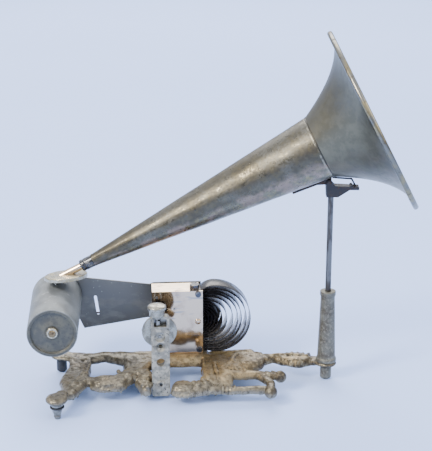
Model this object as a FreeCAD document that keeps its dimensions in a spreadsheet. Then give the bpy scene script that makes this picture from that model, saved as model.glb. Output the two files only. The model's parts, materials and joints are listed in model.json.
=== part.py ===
import FreeCAD, Part
import math
import os
import Sketcher

# Open-works cylinder phonograph with a conical horn.
# Frame: +X to the bell, +Y to the back of the machine, +Z up, origin on the table under the middle.
# Stations are named distances from the horn column, whose own place is column_x, column_y.

NODE_FOLDER = "parts"

SIZES = [
    # Casting and feet
    ("column_x", 93.56, "horn column, right of the origin"),
    ("column_y", 2.36, "horn column, behind the origin"),
    ("deck_low", 11, "underside of the base casting"),
    ("deck_top", 18, "top of the base casting"),
    ("motor_seat_top", 20, "raised flat on which the motor plates stand"),
    ("front_foot_left", 235, "front foot, left of the column"),
    ("front_foot_ahead", 62, "front foot, ahead of the column"),
    ("back_foot_left", 235.5, "back foot, left of the column"),
    ("back_foot_behind", 31, "back foot, behind the column"),
    ("high_boss_low", 13, "underside of the bosses over the back and right feet"),
    ("high_boss_top", 17, "top of the bosses over the back and right feet"),
    ("column_flange_radius", 9, "flange around the foot of the column"),
    ("column_flange_height", 3, "thickness of that flange"),
    ("foot_screw_tip", 2.7, "radius of the front foot's tip"),
    ("foot_screw_shoulder", 5, "radius of the front foot's shoulder"),
    ("foot_shoulder_height", 2, "height of that shoulder"),
    ("foot_washer", 1.2, "thickness of the ring above the front foot"),
    ("foot_washer_rim", 1, "that ring, beyond the foot's shoulder"),
    ("foot_stem", 2.5, "radius of the stems that hold the feet"),
    ("foot_stem_depth", 2.5, "length of a stem in its boss"),
    ("column_screw_depth", 11, "length of the right foot's stem, up into the column"),
    ("foot_stem_play", 0.5, "top of that stem, below the end of its bore"),
    ("rubber_foot_radius", 4.6, "back foot"),
    ("right_foot_radius", 5, "right foot"),
    ("foot_edge", 1.6, "chamfer around the ends of the plain feet"),
    ("fit_gap", 0.05, "radial gap of a running or located fit"),
    ("still_gap", 0.1, "radial gap around a fixed screw or stem"),
    ("clear_gap", 0.3, "least gap between parts that pass each other"),
    ("seat_gap", 0.02, "gap between flat faces that lie on each other"),
    ("fine_edge", 0.3, "chamfer of thin turned parts"),
    ("plain_edge", 0.5, "chamfer of turned parts"),
    ("soft_edge", 0.6, "chamfer of rubber and thin necks"),
    ("post_edge", 1.5, "chamfer of the governor post"),
    # Horn column and rod
    ("column_foot_radius", 8, "column radius at the base"),
    ("column_neck_radius", 6.2, "column radius under its rim"),
    ("column_rim_radius", 6.9, "rim at the column's top"),
    ("column_rim_height", 3.5, "height of that rim"),
    ("column_fillet", 1, "slope from the flange to the column, and twice this under the rim"),
    ("column_top", 83.5, "top of the column"),
    ("rod_radius", 2.5, "steel rod in the column"),
    ("rod_low", 42, "bottom of the rod inside the column"),
    ("rod_socket_top", 176.5, "top of the rod inside the cradle"),
    # Motor frame
    ("plate_left", 153.3, "left edge of the motor plates, left of the column"),
    ("plate_width", 44.7, "width of the front motor plate"),
    ("plate_top", 79.8, "top of the motor plates"),
    ("plate_front", 16.1, "front face of the front plate, behind the column"),
    ("plate_thick", 1.5, "thickness of both plates"),
    ("plate_space", 28.4, "space between the two plates"),
    ("flange_depth", 20.9, "top flange of the front plate, front to back"),
    ("back_plate_inset", 1.8, "left edge of the back plate, inside the front plate's"),
    ("back_plate_drop", 2.4, "top of the back plate, below the front plate's"),
    ("sight_hole_in", 13, "plain hole in the front plate, inside its left edge"),
    ("sight_hole_down", 14.7, "that hole, below the plate's top"),
    ("sight_hole_radius", 1.5, "radius of that hole"),
    ("spindle_clearance", 0.5, "radial gap around the governor spindle in the front plate"),
    ("pillar_in", 4.2, "plate pillars, inside the plates' left edge"),
    ("pillar_down", 5.2, "upper pillar, below the plates' top"),
    ("pillar_up", 13.5, "lower pillar, above the motor seat"),
    ("corner_screw_right", 0.2, "corner screw, right of the spring arbor"),
    ("corner_screw_above", 26.1, "corner screw, above the spring arbor"),
    ("screw_end", 1.2, "end of the corner screw behind its plate"),
    ("tenon_head", 0.5, "riveted ends proud of the plates"),
    ("seat_run_out", 4, "motor seat, right of the motor plates"),
    ("seat_overlap", 2, "blocks behind the seat reach into it"),
    ("seat_front", 6, "front of the motor seat, behind the column"),
    ("seat_back", 34, "back of the motor seat, behind the column"),
    ("seat_round", 8, "rounding of the seat's front edge"),
    ("lug_width", 9, "upright lugs of the casting behind the plates"),
    ("lug_thick", 1.6, "thickness of those lugs"),
    ("lug_top", 27.5, "top of those lugs"),
    ("lug_screw_height", 24.1, "height of the screws into those lugs"),
    ("right_lug_in", 3.2, "right lug's screw, inside the plate's right edge"),
    ("left_lug_in", 6, "left lug's screw, inside the plate's left edge"),
    ("screw_radius", 1.4, "shank of the frame screws"),
    ("screw_head_radius", 2.7, "head of the frame screws"),
    ("screw_head_height", 1.6, "height of those heads"),
    ("pillar_radius", 2, "pillars between the plates"),
    ("pillar_tenon", 1.2, "riveted ends of those pillars"),
    # Spring arbor and train
    ("arbor_left", 112.9, "spring arbor, left of the column"),
    ("arbor_height", 50.8, "height of the spring arbor"),
    ("arbor_radius", 3.9, "spring arbor inside the spring"),
    ("arbor_journal", 2.6, "radius of the spring arbor's journals"),
    ("gear_module", 0.5, "pitch diameter over teeth"),
    ("great_teeth", 88, "teeth of the great wheel"),
    ("second_pinion_teeth", 10, "pinion that the great wheel drives"),
    ("second_teeth", 52, "teeth of the second wheel"),
    ("drive_pinion_teeth", 10, "pinion that the second wheel drives"),
    ("drive_teeth", 36, "teeth of the wheel on the drive arbor"),
    ("governor_teeth", 9, "pinion on the governor spindle"),
    ("second_bearing", 148.5, "direction from the spring arbor to the second arbor, degrees"),
    ("governor_left", 148, "governor spindle, left of the column"),
    ("governor_height", 58, "height of the governor spindle"),
    ("pivot_radius", 0.9, "pivots of the small arbors"),
    ("small_arbor_radius", 1.2, "small arbors between the plates"),
    ("wheel_thick", 1.4, "thickness of the wheels"),
    ("great_hub_radius", 5, "hub behind the great wheel"),
    ("great_hub_length", 1.8, "length of that hub"),
    ("pinion_length", 2.4, "length of the pinions"),
    ("drive_pivot_in", 0.2, "front pivot of the drive arbor, behind the front plate's face"),
    ("great_wheel_back", 23.1, "front face of the great wheel, behind the front plate"),
    ("second_wheel_back", 25.5, "front face of the second wheel, behind the front plate"),
    ("drive_wheel_back", 6.8, "front face of the drive wheel, behind the front plate"),
    ("ratchet_teeth", 16, "teeth of the winding ratchet"),
    ("ratchet_tip", 8, "tip radius of the ratchet"),
    ("ratchet_root", 6.8, "root radius of the ratchet"),
    ("ratchet_thick", 1.6, "thickness of the ratchet and its click"),
    ("click_reach", 12.5, "click pivot, from the spring arbor's axis"),
    ("click_ahead", 36, "click pivot, angle ahead of the tooth it holds, degrees"),
    ("click_tooth", 67.5, "angle of the tooth that the click holds, degrees"),
    ("click_eye", 1.8, "radius of the click around its pivot"),
    ("click_nose", 0.5, "radius of the click's nose"),
    ("click_nose_ahead", 3.3, "middle of the nose, angle ahead of the tooth, degrees"),
    ("click_clear", 0.1, "nose to the teeth's tips while the click rides over them"),
    ("click_pin", 0.8, "radius of the click's pivot pin"),
    ("click_spring_wire", 0.35, "radius of the click spring's wire"),
    ("key_square", 3.2, "side of the square on the winding end"),
    ("key_length", 20, "length of the winding key"),
    ("key_bow_radius", 8, "bow of the winding key"),
    ("key_bow_wire", 2, "radius of the bow's wire"),
    ("key_barrel_radius", 4, "barrel of the winding key"),
    # Mainspring
    ("ribbon_thick", 0.4, "mainspring ribbon"),
    ("ribbon_width", 16.4, "width of the ribbon"),
    ("ribbon_back", 3.5, "front edge of the ribbon, behind the front plate"),
    ("core_turns", 6, "turns of the tight core"),
    ("turn_step_left", 0.82, "step from turn to turn on the left, where all turns lie close"),
    ("core_step_right", 2.8, "step of the core's turns on the right"),
    ("open_turn_1", 22, "first open turn, right of the arbor"),
    ("open_turn_2", 26.1, "second open turn"),
    ("open_turn_3", 31.5, "third open turn"),
    ("open_turn_4", 36, "fourth open turn"),
    ("open_turn_5", 39.2, "fifth open turn"),
    ("open_turn_6", 43.5, "sixth open turn"),
    ("open_turn_7", 47.1, "outermost turn"),
    ("end_bend", 4, "bend that lays the ribbon's end flat"),
    ("end_flat", 9, "flat end of the ribbon under the flange"),
    ("anchor_screw_left", 2.6, "screw through the ribbon's end, left of the arbor"),
    ("anchor_head_radius", 4.2, "head of that screw"),
    ("anchor_head_height", 3.6, "height of that head"),
    ("screw_slot_width", 1, "slot in that head"),
    ("screw_slot_depth", 1.1, "depth of that slot"),
    ("anchor_behind", 8, "that screw, behind the front plate's face"),
    ("flange_inset", 3, "right end of the flange, inside the plate's edge"),
    ("outer_turn_rise", 32.5, "top of the outermost turn, above the arbor"),
    ("ribbon_seat", 0.05, "ribbon's end under the flange"),
    ("strip_thick", 1, "tapped strip under the ribbon's end"),
    ("strip_width", 4.6, "width of that strip"),
    ("strip_length", 9, "length of that strip, front to back"),
    # Mandrel and its arm
    ("mandrel_left", 10.25613, "mandrel axis, left of the middle of the sound box"),
    ("mandrel_below", 29.8, "mandrel axis, below the middle of the sound box"),
    ("mandrel_to_arm", 1.5, "back rim of the mandrel to the arm plate"),
    ("mandrel_length", 85, "length of the mandrel"),
    ("mandrel_front_radius", 21.3, "mandrel radius at its front"),
    ("mandrel_back_radius", 22.3, "mandrel radius at its back"),
    ("mandrel_wall", 2.4, "wall of the mandrel"),
    ("mandrel_recess", 2.2, "depth of the recessed front web"),
    ("mandrel_web", 3, "thickness of that web"),
    ("mandrel_rim", 3, "width of the rim around the recess"),
    ("mandrel_edge", 0.4, "chamfer around its front"),
    ("mandrel_hub_radius", 8.4, "hub inside the mandrel"),
    ("mandrel_hub_length", 9, "length of that hub behind the web"),
    ("mandrel_shaft_radius", 3, "mandrel shaft"),
    ("shaft_proud", 0.8, "shaft ahead of the mandrel's front"),
    ("shaft_tail", 1, "shaft behind its pulley"),
    ("nut_radius", 4.8, "round nut on the front of the shaft"),
    ("nut_height", 2.4, "height of that nut"),
    ("bearing_radius", 6, "bearing tube inside the mandrel"),
    ("bearing_flange_radius", 10, "flange of the bearing tube"),
    ("bearing_flange", 1.3, "thickness of that flange"),
    ("bearing_reach", 52, "bearing tube ahead of the arm plate"),
    ("bearing_tail", 2, "bearing tube behind the arm plate"),
    ("arm_end_radius", 18, "rounded end of the arm plate around the bearing"),
    ("arm_top_left_x", 25.5, "arm plate's upper left corner, right of the mandrel axis"),
    ("arm_top_left_z", 16.5, "the same corner, above the mandrel axis"),
    ("arm_low_left_x", 23.3, "arm plate's lower left corner, right of the mandrel axis"),
    ("arm_low_left_z", 32.4, "the same corner, below the mandrel axis"),
    ("arm_notch_x", 19.5, "notch above that corner, right of the mandrel axis"),
    ("arm_notch_z", 23.5, "the notch, below the mandrel axis"),
    ("arm_root_top", 3.8, "arm's upper edge at the motor, below the plate's top"),
    ("arm_root_low", 36, "arm's lower edge at the motor, below the plate's top"),
    ("arm_root_left", 1.5, "arm's upper edge starts left of the front plate"),
    ("arm_root_slant", 2.3, "its lower edge starts further left by this"),
    ("arm_end_start", 78, "start of the arm's round end, from the level on the right, degrees"),
    ("arm_end_sweep", 225, "sweep of that end, degrees"),
    ("slot_top_x", 34.1, "slot's upper end, right of the mandrel axis"),
    ("slot_top_z", 2.3, "slot's upper end, below the mandrel axis"),
    ("slot_low_x", 36.3, "slot's lower end, right of the mandrel axis"),
    ("slot_low_z", 18.5, "slot's lower end, below the mandrel axis"),
    ("slot_radius", 1.3, "half the slot's width"),
    # Belt drive
    ("mandrel_pulley_radius", 18, "belt line on the mandrel pulley"),
    ("drive_pulley_radius", 5.5, "belt line on the drive pulley"),
    ("pulley_lip", 1.1, "pulley rim beyond the belt line"),
    ("pulley_width", 3.4, "width of both pulleys"),
    ("belt_radius", 0.8, "radius of the round belt"),
    ("belt_play", 0.15, "gap between the belt and its grooves"),
    ("belt_behind", 4, "belt's plane, behind the arm plate's back face"),
    # Governor
    ("disc_radius", 15, "governor disc"),
    ("disc_ahead", 20.5, "front face of the disc, ahead of the column"),
    ("disc_thick", 2, "thickness of the disc"),
    ("disc_hub_radius", 4, "hub of the disc"),
    ("disc_hub_length", 4.4, "length of that hub behind the disc"),
    ("spindle_radius", 1.25, "governor spindle"),
    ("collar_radius", 4, "fixed collar of the governor springs"),
    ("collar_length", 4, "length of that collar"),
    ("collar_gap", 3, "collar, ahead of the front plate"),
    ("weight_radius", 3.7, "governor weights"),
    ("weight_orbit", 12.4, "weights, from the spindle's axis"),
    ("blade_thick", 0.4, "governor spring blades"),
    ("blade_width", 4, "width of those blades"),
    ("weight_count", 3, "weights and blades of the governor"),
    # Governor pillar and regulator
    ("post_left", 147.5, "middle of the governor pillar, left of the column"),
    ("post_width", 15.4, "width of the governor pillar"),
    ("post_ahead", 33, "front face of the pillar, ahead of the column"),
    ("post_depth", 7, "pillar, front to back"),
    ("post_low", 3, "bottom of the pillar"),
    ("post_top", 76.6, "top of the pillar"),
    ("window_height", 70.8, "height of the regulator window in the pillar"),
    ("window_radius", 3.6, "half the height of that window"),
    ("window_half", 5.4, "half the width of that window"),
    ("recess_radius", 4.6, "recess around the spindle's front bearing"),
    ("recess_depth", 2.4, "depth of that recess"),
    ("spindle_in_recess", 1, "front end of the spindle, ahead of the floor of that recess"),
    ("sink_height", 48.5, "height of the countersunk hole"),
    ("sink_radius", 4.2, "its mouth"),
    ("sink_bore", 1.9, "its bore"),
    ("big_hole_height", 34.5, "height of the plain hole"),
    ("big_hole_radius", 3.8, "its radius"),
    ("post_screw_height", 14.4, "height of the screw that holds the pillar"),
    ("post_screw_radius", 2.1, "its shank"),
    ("post_screw_reach", 7.5, "that shank, behind the pillar"),
    ("post_screw_head", 3.3, "radius of its head"),
    ("post_screw_head_height", 1.4, "height of that head"),
    ("post_screw_slot", 0.9, "slot in that head"),
    ("post_screw_slot_floor", 0.7, "floor of that slot, ahead of the pillar"),
    ("knob_left", 150.2, "regulator knob, left of the column"),
    ("knob_ahead", 30.2, "regulator spindle, ahead of the column"),
    ("knob_radius", 8, "flared rim of the regulator knob"),
    ("knob_neck_radius", 6, "body of the knob"),
    ("knob_height", 9.6, "height of the knob"),
    ("knob_cap", 2.5, "solid top of the knob"),
    ("cam_tail", 2.6, "regulator spindle, below the window"),
    ("cam_spindle_radius", 1.2, "spindle of the regulator"),
    ("cam_radius", 2.1, "eccentric on that spindle"),
    ("cam_offset", 0.8, "offset of the eccentric"),
    ("cam_height", 3.2, "height of the eccentric"),
    ("cam_play", 0.25, "eccentric to plunger head"),
    ("plunger_radius", 1.5, "brake plunger"),
    ("plunger_head", 2.4, "head of the plunger"),
    ("plunger_head_thick", 0.6, "thickness of that head"),
    ("guide_thick", 1.5, "plate that guides the plunger"),
    ("guide_width", 13, "width of that plate"),
    ("guide_height", 8, "height of that plate"),
    ("pad_radius", 1.9, "radius of the leather pad"),
    ("pad_thick", 1.2, "thickness of that pad"),
    ("brake_gap", 1.2, "pad to disc with the brake off"),
    # Cradle and horn, stations along the horn's plane from the rod's axis
    ("horn_yaw", 4, "horn swung to the front at rest, degrees"),
    ("horn_pitch", 27.6, "horn axis above the level, degrees"),
    ("seam_left", 10.5, "middle of the seam, left of the rod's axis"),
    ("seam_height", 213, "height of the middle of the seam"),
    ("cone_length", 218, "conical part of the horn"),
    ("cone_small_radius", 5.5, "outside of the cone's small end"),
    ("cone_large_radius", 27.9, "outside of the horn at the seam"),
    ("horn_wall", 0.8, "sheet of the horn"),
    ("bell_depth", 50, "bell, from the seam to the rim"),
    ("bell_radius", 81, "bell at the rim"),
    ("bell_share", 0.962, "part of the bell's curve before the rim bead"),
    ("bead_radius", 1.6, "wired edge of the rim"),
    ("sleeve_length", 12, "rubber sleeve outside the cone"),
    ("sleeve_radius", 5.35, "radius of that sleeve"),
    ("sleeve_plug", 6, "part of the sleeve inside the cone"),
    ("tube_radius", 3.25, "bright tube between the sleeve and the sound box"),
    ("tube_bore", 2.4, "bore of that tube"),
    ("tube_length", 15, "axis of the tube beyond the sleeve"),
    ("tube_insert", 14, "part of the tube inside the sleeve"),
    ("tube_spare", 6, "tube beyond the sound box, before it is cut off there"),
    ("pivot_left", 2, "tilt pin, left of the rod's axis"),
    ("pivot_height", 183, "height of the tilt pin"),
    ("tilt_pin_radius", 1, "tilt pin"),
    ("pin_proud", 0.6, "ends of that pin, proud of the cradle"),
    ("pin_head_radius", 1.7, "head of that pin"),
    ("pin_head_thick", 0.9, "thickness of that head"),
    ("cradle_width", 9, "width of the cradle head"),
    ("cheek_radius", 2.4, "rounded top of the cradle's cheeks"),
    ("lug_slot", 4, "slot between the cheeks"),
    ("lug_plate", 3.4, "thickness of the horn's lug in that slot"),
    ("lug_radius", 2.4, "rounded end of that lug"),
    ("slot_floor", 179.8, "height of the slot's floor"),
    ("socket_low", 170, "underside of the cradle head"),
    ("socket_left", 4.2, "cradle head, left of the rod's axis"),
    ("socket_right", 5.9, "cradle head, right of the rod's axis"),
    ("cradle_arm_top", 180, "upper edge of the cradle's arm at its root"),
    ("cradle_arm_tip", 23.5, "tip of the arm, right of the rod's axis"),
    ("gusset_end", 15.5, "end of the slope under the arm, right of the rod's axis"),
    ("cradle_tip_top", 178.9, "upper edge of the arm at its tip"),
    ("cradle_tip_low", 176.4, "lower edge of the arm at its tip"),
    ("nub_height", 1.6, "stop on the arm, above its tip"),
    ("nub_width", 2.8, "width of that stop"),
    ("fork_root", 17.2, "root of the fork in the arm's tip"),
    ("fork_gap", 2.4, "gap of that fork"),
    ("strap_thick", 1.2, "strap under the cone"),
    ("strap_width", 10, "width of that strap"),
    ("strap_back", 38, "left end of the strap, from the seam"),
    ("strap_front", 12, "right end of the wide strap, from the seam"),
    ("wire_radius", 0.75, "steadying wire under the bell"),
    ("wire_reach", 17.2, "bend of the wire, right of the rod's axis"),
    ("wire_bend_height", 185.2, "height of that bend"),
    ("wire_foot_reach", 21.4, "lower end of the wire, right of the rod's axis"),
    ("wire_foot_height", 177.6, "height of that end"),
    # Sound box, drawn around the middle of its shell
    ("box_beyond", 0.68012, "middle of the sound box, left of the end of the tube's axis"),
    ("box_below", 2.49247, "middle of the sound box, below that end"),
    ("box_lean", 5, "left side of the sound box lower, degrees"),
    ("box_raise", 8, "front of the sound box higher, degrees"),
    ("box_radius", 18.75, "shell of the sound box"),
    ("box_thick", 3.4, "height of the shell"),
    ("box_top_wall", 1, "top of the shell"),
    ("box_side_wall", 1.5, "wall of the shell"),
    ("box_throat", 2.4, "hole in the shell under the tube"),
    ("gasket_width", 3, "rubber gaskets of the diaphragm"),
    ("gasket_thick", 0.5, "thickness of the gaskets"),
    ("diaphragm_thick", 0.3, "diaphragm"),
    ("box_ring_thick", 0.7, "ring that holds the diaphragm"),
    ("box_ring_width", 4.2, "width of that ring"),
    ("bar_radius", 0.7, "stylus bar"),
    ("bar_drop", 2, "axis of the stylus bar below the shell"),
    ("bar_left", 15.5, "left end of the bar, from the middle of the sound box"),
    ("hinge_length", 2, "hinge block of the bar, left to right"),
    ("hinge_width", 2.8, "width of that block"),
    ("hinge_under", 0.2, "that block, below the bar's axis"),
    ("stylus_left", 10, "stylus, left of the middle of the sound box"),
    ("stylus_radius", 0.9, "stylus at the bar"),
    ("stylus_tip_radius", 0.3, "stylus at its tip"),
    ("stylus_reach", 6.9, "tip of the stylus below the middle of the sound box"),
]

# Lobes of the base casting. Each is the outline around two discs, from a lower to an upper level:
# left of the column, behind the column and radius of each disc, then the two levels.
LOBES = [
    ("back_foot_boss", 235.5, 31, 9, 229, 28, 8, 13, 17),
    ("back_shoulder", 229, 28, 7.5, 218, 24, 10, 13, 17),
    ("arm_back", 218, 24, 10, 218, 5, 10, 11, 17),
    ("arm_middle", 218, 5, 10, 222, -22, 13, 10, 17.5),
    ("arm_front", 222, -22, 12.5, 226, -44, 6.5, 9, 17),
    ("arm_toe", 226, -44, 6, 235, -62, 7.5, 11, 16.5),
    ("front_foot_boss", 235, -62, 9.5, 235, -61, 9.5, 11, 19),
    ("rail_left", 216, 22, 9.5, 197, 26.5, 5.8, 11, 18),
    ("rail_middle", 197, 26.5, 5.8, 178, 21, 11, 11, 18),
    ("rail_right", 178, 21, 11, 150, 18, 15, 11, 18),
    ("medallion_link", 214, -20, 5.5, 200, -24, 7.5, 10, 16.5),
    ("medallion", 198, -27, 10, 187, -27, 10.5, 9, 18),
    ("rocks_left", 186, -26, 9, 171, -8, 9, 9, 17.5),
    ("rocks_back", 171, -8, 9, 165, 14, 15, 10, 18),
    ("rocks_middle", 168, -6, 8, 160, -18, 7.5, 8, 17.5),
    ("rocks_front", 163, -22, 7, 160.5, -38, 4.6, 7, 15),
    ("shell", 129.5, -39, 10.2, 128, -39, 10.2, 7.5, 17.5),
    ("shell_link", 126, -38, 7, 108, -37, 5, 9, 16.5),
    ("drape_left", 104, 8, 6.5, 106, -27, 5.5, 9, 18.5),
    ("drape_right", 93, 10, 8, 92, -26, 7.2, 9.5, 19),
    ("drape_front", 106, -30, 5, 90, -30, 5, 8, 15.5),
    ("bar_high", 92, -20, 5, 62, -21.5, 4.4, 11.5, 18),
    ("bar_high_outer", 62, -21.5, 4.4, 44, -25, 4.6, 11.5, 17.5),
    ("bar_bend", 61, -23, 4.2, 53, -37, 3.6, 11, 17),
    ("bar_low", 108, -40, 4.4, 88, -44, 4, 8.5, 14.5),
    ("bar_low_outer", 88, -44, 4, 56, -44, 3.6, 8.5, 14.5),
    ("bar_join", 53, -37, 3.6, 55, -50, 4, 9.5, 16),
    ("body_right", 92, 7, 14.5, 70, 6.5, 16.5, 10.5, 19.3),
    ("waist", 70, 8.5, 11, 46, 12.6, 3.5, 10.5, 18.5),
    ("leaf_stem", 46, 12.6, 3.5, 31, 10, 10, 10.5, 18.5),
    ("leaf", 31, 10, 10, 24, 8.5, 11.5, 10.5, 18.5),
    ("leaf_tip", 24, 8.5, 11, 10.5, 6.5, 5.5, 10.5, 17),
    ("column_pad", 9, 6, 6.5, 0, 0, 9.5, 13, 17),
]

# Round knops on the ends of the bars: left of the column, behind the column, radius and height.
KNOPS = [
    ("knop_right", 44, -25, 5.6, 14),
    ("knop_front", 55, -52, 6, 13),
]

TURN_Y_DOWN = (0, -1, 0)


class Size:
    """A number together with the expression that gives it from the sheet."""

    def __init__(self, value, text):
        self.value = float(value)
        self.text = text

    def __add__(self, other):
        other = as_size(other)
        return Size(self.value + other.value, "(%s + %s)" % (self.text, other.text))

    def __radd__(self, other):
        return as_size(other) + self

    def __sub__(self, other):
        other = as_size(other)
        return Size(self.value - other.value, "(%s - %s)" % (self.text, other.text))

    def __rsub__(self, other):
        return as_size(other) - self

    def __mul__(self, other):
        other = as_size(other)
        return Size(self.value * other.value, "(%s * %s)" % (self.text, other.text))

    def __rmul__(self, other):
        return as_size(other) * self

    def __truediv__(self, other):
        other = as_size(other)
        return Size(self.value / other.value, "(%s / %s)" % (self.text, other.text))

    def __rtruediv__(self, other):
        return as_size(other) / self

    def __neg__(self):
        return Size(-self.value, "(0 - %s)" % self.text)


def as_size(number):
    if isinstance(number, Size):
        return number
    return Size(number, "%.6f" % number)


def cosine(angle):
    angle = as_size(angle)
    return Size(math.cos(math.radians(angle.value)), "cos(%s)" % angle.text)


def sine(angle):
    angle = as_size(angle)
    return Size(math.sin(math.radians(angle.value)), "sin(%s)" % angle.text)


def root(number):
    return Size(math.sqrt(number.value), "sqrt(%s)" % number.text)


PI = Size(math.pi, "pi")

doc = FreeCAD.newDocument("Phonograph")
sheet = doc.addObject("Spreadsheet::Sheet", "Sizes")
row = 0
g = {}


def enter(alias, number, note):
    """Put one driving size in the sheet."""
    global row
    row += 1
    sheet.set("A%d" % row, note)
    sheet.set("B%d" % row, str(number))
    sheet.setAlias("B%d" % row, alias)
    g[alias] = Size(number, "Sizes." + alias)


places = doc.addObject("Spreadsheet::Sheet", "Places")
place_row = 0


def keep(alias, size):
    """Keep a place that several pieces share as a formula in the second sheet."""
    global place_row
    place_row += 1
    places.set("A%d" % place_row, "=" + size.text)
    places.setAlias("A%d" % place_row, alias)
    return Size(size.value, "Places." + alias)


for alias, number, note in SIZES:
    enter(alias, number, note)
LOBE_NOTES = ("left", "behind", "radius", "end_left", "end_behind", "end_radius", "low", "top")
for lobe in LOBES:
    for note, number in zip(LOBE_NOTES, lobe[1:]):
        enter("%s_%s" % (lobe[0], note), number, "%s of the lobe %s" % (note, lobe[0]))
KNOP_NOTES = ("left", "behind", "radius", "height")
for knop in KNOPS:
    for note, number in zip(KNOP_NOTES, knop[1:]):
        enter("%s_%s" % (knop[0], note), number, "%s of %s" % (note, knop[0]))
doc.recompute()


# Small helpers

def bind(thing, prop, size):
    thing.setExpression(prop, as_size(size).text)


def vector_text(x, y, z):
    return "create(<<vector>>; %s; %s; %s)" % (as_size(x).text, as_size(y).text, as_size(z).text)


def place(thing, x=0, y=0, z=0, turns=()):
    """Place an object by its origin and a row of turns, each an axis and an angle in degrees."""
    turn = "create(<<rotation>>; create(<<vector>>; 0; 0; 1); 0)"
    for axis, angle in turns:
        way = "create(<<vector>>; %g; %g; %g)" % axis
        turn += " * create(<<rotation>>; %s; %s)" % (way, as_size(angle).text)
    thing.setExpression("Placement", "create(<<placement>>; %s; %s)" % (vector_text(x, y, z), turn))


def cylinder(x, y, z, radius, length, along="y"):
    """A cylinder from a point along one axis."""
    rod = doc.addObject("Part::Cylinder", "Rod")
    bind(rod, "Radius", radius)
    bind(rod, "Height", length)
    turns = {"x": (((0, 1, 0), 90),), "y": (((1, 0, 0), -90),), "z": ()}[along]
    place(rod, x, y, z, turns)
    return rod


def box(x, y, z, width, depth, height):
    block = doc.addObject("Part::Box", "Block")
    bind(block, "Length", width)
    bind(block, "Width", depth)
    bind(block, "Height", height)
    place(block, x, y, z)
    return block


def ball(x, y, z, radius):
    knob = doc.addObject("Part::Sphere", "Ball")
    bind(knob, "Radius", radius)
    place(knob, x, y, z)
    return knob


def fuse(label, pieces):
    whole = doc.addObject("Part::MultiFuse", label)
    whole.Label = label
    whole.Shapes = pieces
    return whole


def cut(label, base, tools):
    tool = tools[0]
    if len(tools) > 1:
        tool = fuse(label + "_tools", tools)
    whole = doc.addObject("Part::Cut", label)
    whole.Label = label
    whole.Base = base
    whole.Tool = tool
    return whole


def new_body(label):
    body = doc.addObject("PartDesign::Body", label)
    body.Label = label
    return body


def sketch_on(body, role, name, lift=None):
    """A sketch on one of the body's own origin planes."""
    plane = [face for face in body.Origin.OriginFeatures if face.Role == role][0]
    sketch = body.newObject("Sketcher::SketchObject", name)
    sketch.AttachmentSupport = [(plane, "")]
    sketch.MapMode = "FlatFace"
    if lift is not None:
        bind(sketch, "AttachmentOffset.Base.z", lift)
    return sketch


def pin_point(sketch, edge, end, x, y):
    for kind, size in (("DistanceX", as_size(x)), ("DistanceY", as_size(y))):
        number = sketch.addConstraint(Sketcher.Constraint(kind, edge, end, size.value))
        sketch.setExpression("Constraints[%d]" % number, size.text)


def outline(sketch, points):
    """A closed outline of straight edges with each corner bound to the sheet."""
    points = [(as_size(x), as_size(y)) for x, y in points]
    count = len(points)
    first = sketch.GeometryCount
    for index in range(count):
        here = points[index]
        there = points[(index + 1) % count]
        edge = Part.LineSegment(FreeCAD.Vector(here[0].value, here[1].value, 0),
                                FreeCAD.Vector(there[0].value, there[1].value, 0))
        sketch.addGeometry(edge)
    for index in range(count):
        edge = first + index
        following = first + (index + 1) % count
        sketch.addConstraint(Sketcher.Constraint("Coincident", edge, 2, following, 1))
    for index in range(count):
        pin_point(sketch, first + index, 1, points[index][0], points[index][1])


def circle(sketch, x, y, radius):
    x, y, radius = as_size(x), as_size(y), as_size(radius)
    edge = Part.Circle(FreeCAD.Vector(x.value, y.value, 0), FreeCAD.Vector(0, 0, 1), radius.value)
    number = sketch.addGeometry(edge)
    pin_point(sketch, number, 3, x, y)
    rule = sketch.addConstraint(Sketcher.Constraint("Radius", number, radius.value))
    sketch.setExpression("Constraints[%d]" % rule, radius.text)


def lobe_outline(sketch, x1, y1, r1, x2, y2, r2):
    """The outline around two discs: two arcs joined by their common tangents."""
    x1, y1, r1, x2, y2, r2 = [as_size(size) for size in (x1, y1, r1, x2, y2, r2)]
    dx, dy = x2.value - x1.value, y2.value - y1.value
    heading = math.atan2(dy, dx)
    lean = math.acos((r1.value - r2.value) / math.hypot(dx, dy))
    first = sketch.GeometryCount
    up = FreeCAD.Vector(0, 0, 1)
    start = FreeCAD.Vector(x1.value, y1.value, 0)
    end = FreeCAD.Vector(x2.value, y2.value, 0)
    sketch.addGeometry(Part.ArcOfCircle(Part.Circle(start, up, r1.value),
                                        heading + lean, heading + 2 * math.pi - lean))
    sketch.addGeometry(Part.ArcOfCircle(Part.Circle(end, up, r2.value), heading - lean, heading + lean))
    for side in (1, -1):
        edge = FreeCAD.Vector(math.cos(heading + side * lean), math.sin(heading + side * lean), 0)
        sketch.addGeometry(Part.LineSegment(start + edge * r1.value, end + edge * r2.value))
    sketch.addConstraint(Sketcher.Constraint("Tangent", first, 1, first + 2, 1))
    sketch.addConstraint(Sketcher.Constraint("Tangent", first + 1, 2, first + 2, 2))
    sketch.addConstraint(Sketcher.Constraint("Tangent", first, 2, first + 3, 1))
    sketch.addConstraint(Sketcher.Constraint("Tangent", first + 1, 1, first + 3, 2))
    pin_point(sketch, first, 3, x1, y1)
    pin_point(sketch, first + 1, 3, x2, y2)
    for number, radius in ((first, r1), (first + 1, r2)):
        rule = sketch.addConstraint(Sketcher.Constraint("Radius", number, radius.value))
        sketch.setExpression("Constraints[%d]" % rule, radius.text)


def pad(body, sketch, length, name="Pad", backwards=False, middle=False):
    feature = body.newObject("PartDesign::Pad", name)
    feature.Profile = sketch
    bind(feature, "Length", length)
    feature.Reversed = backwards
    feature.Midplane = middle
    feature.Refine = False
    return feature


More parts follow.
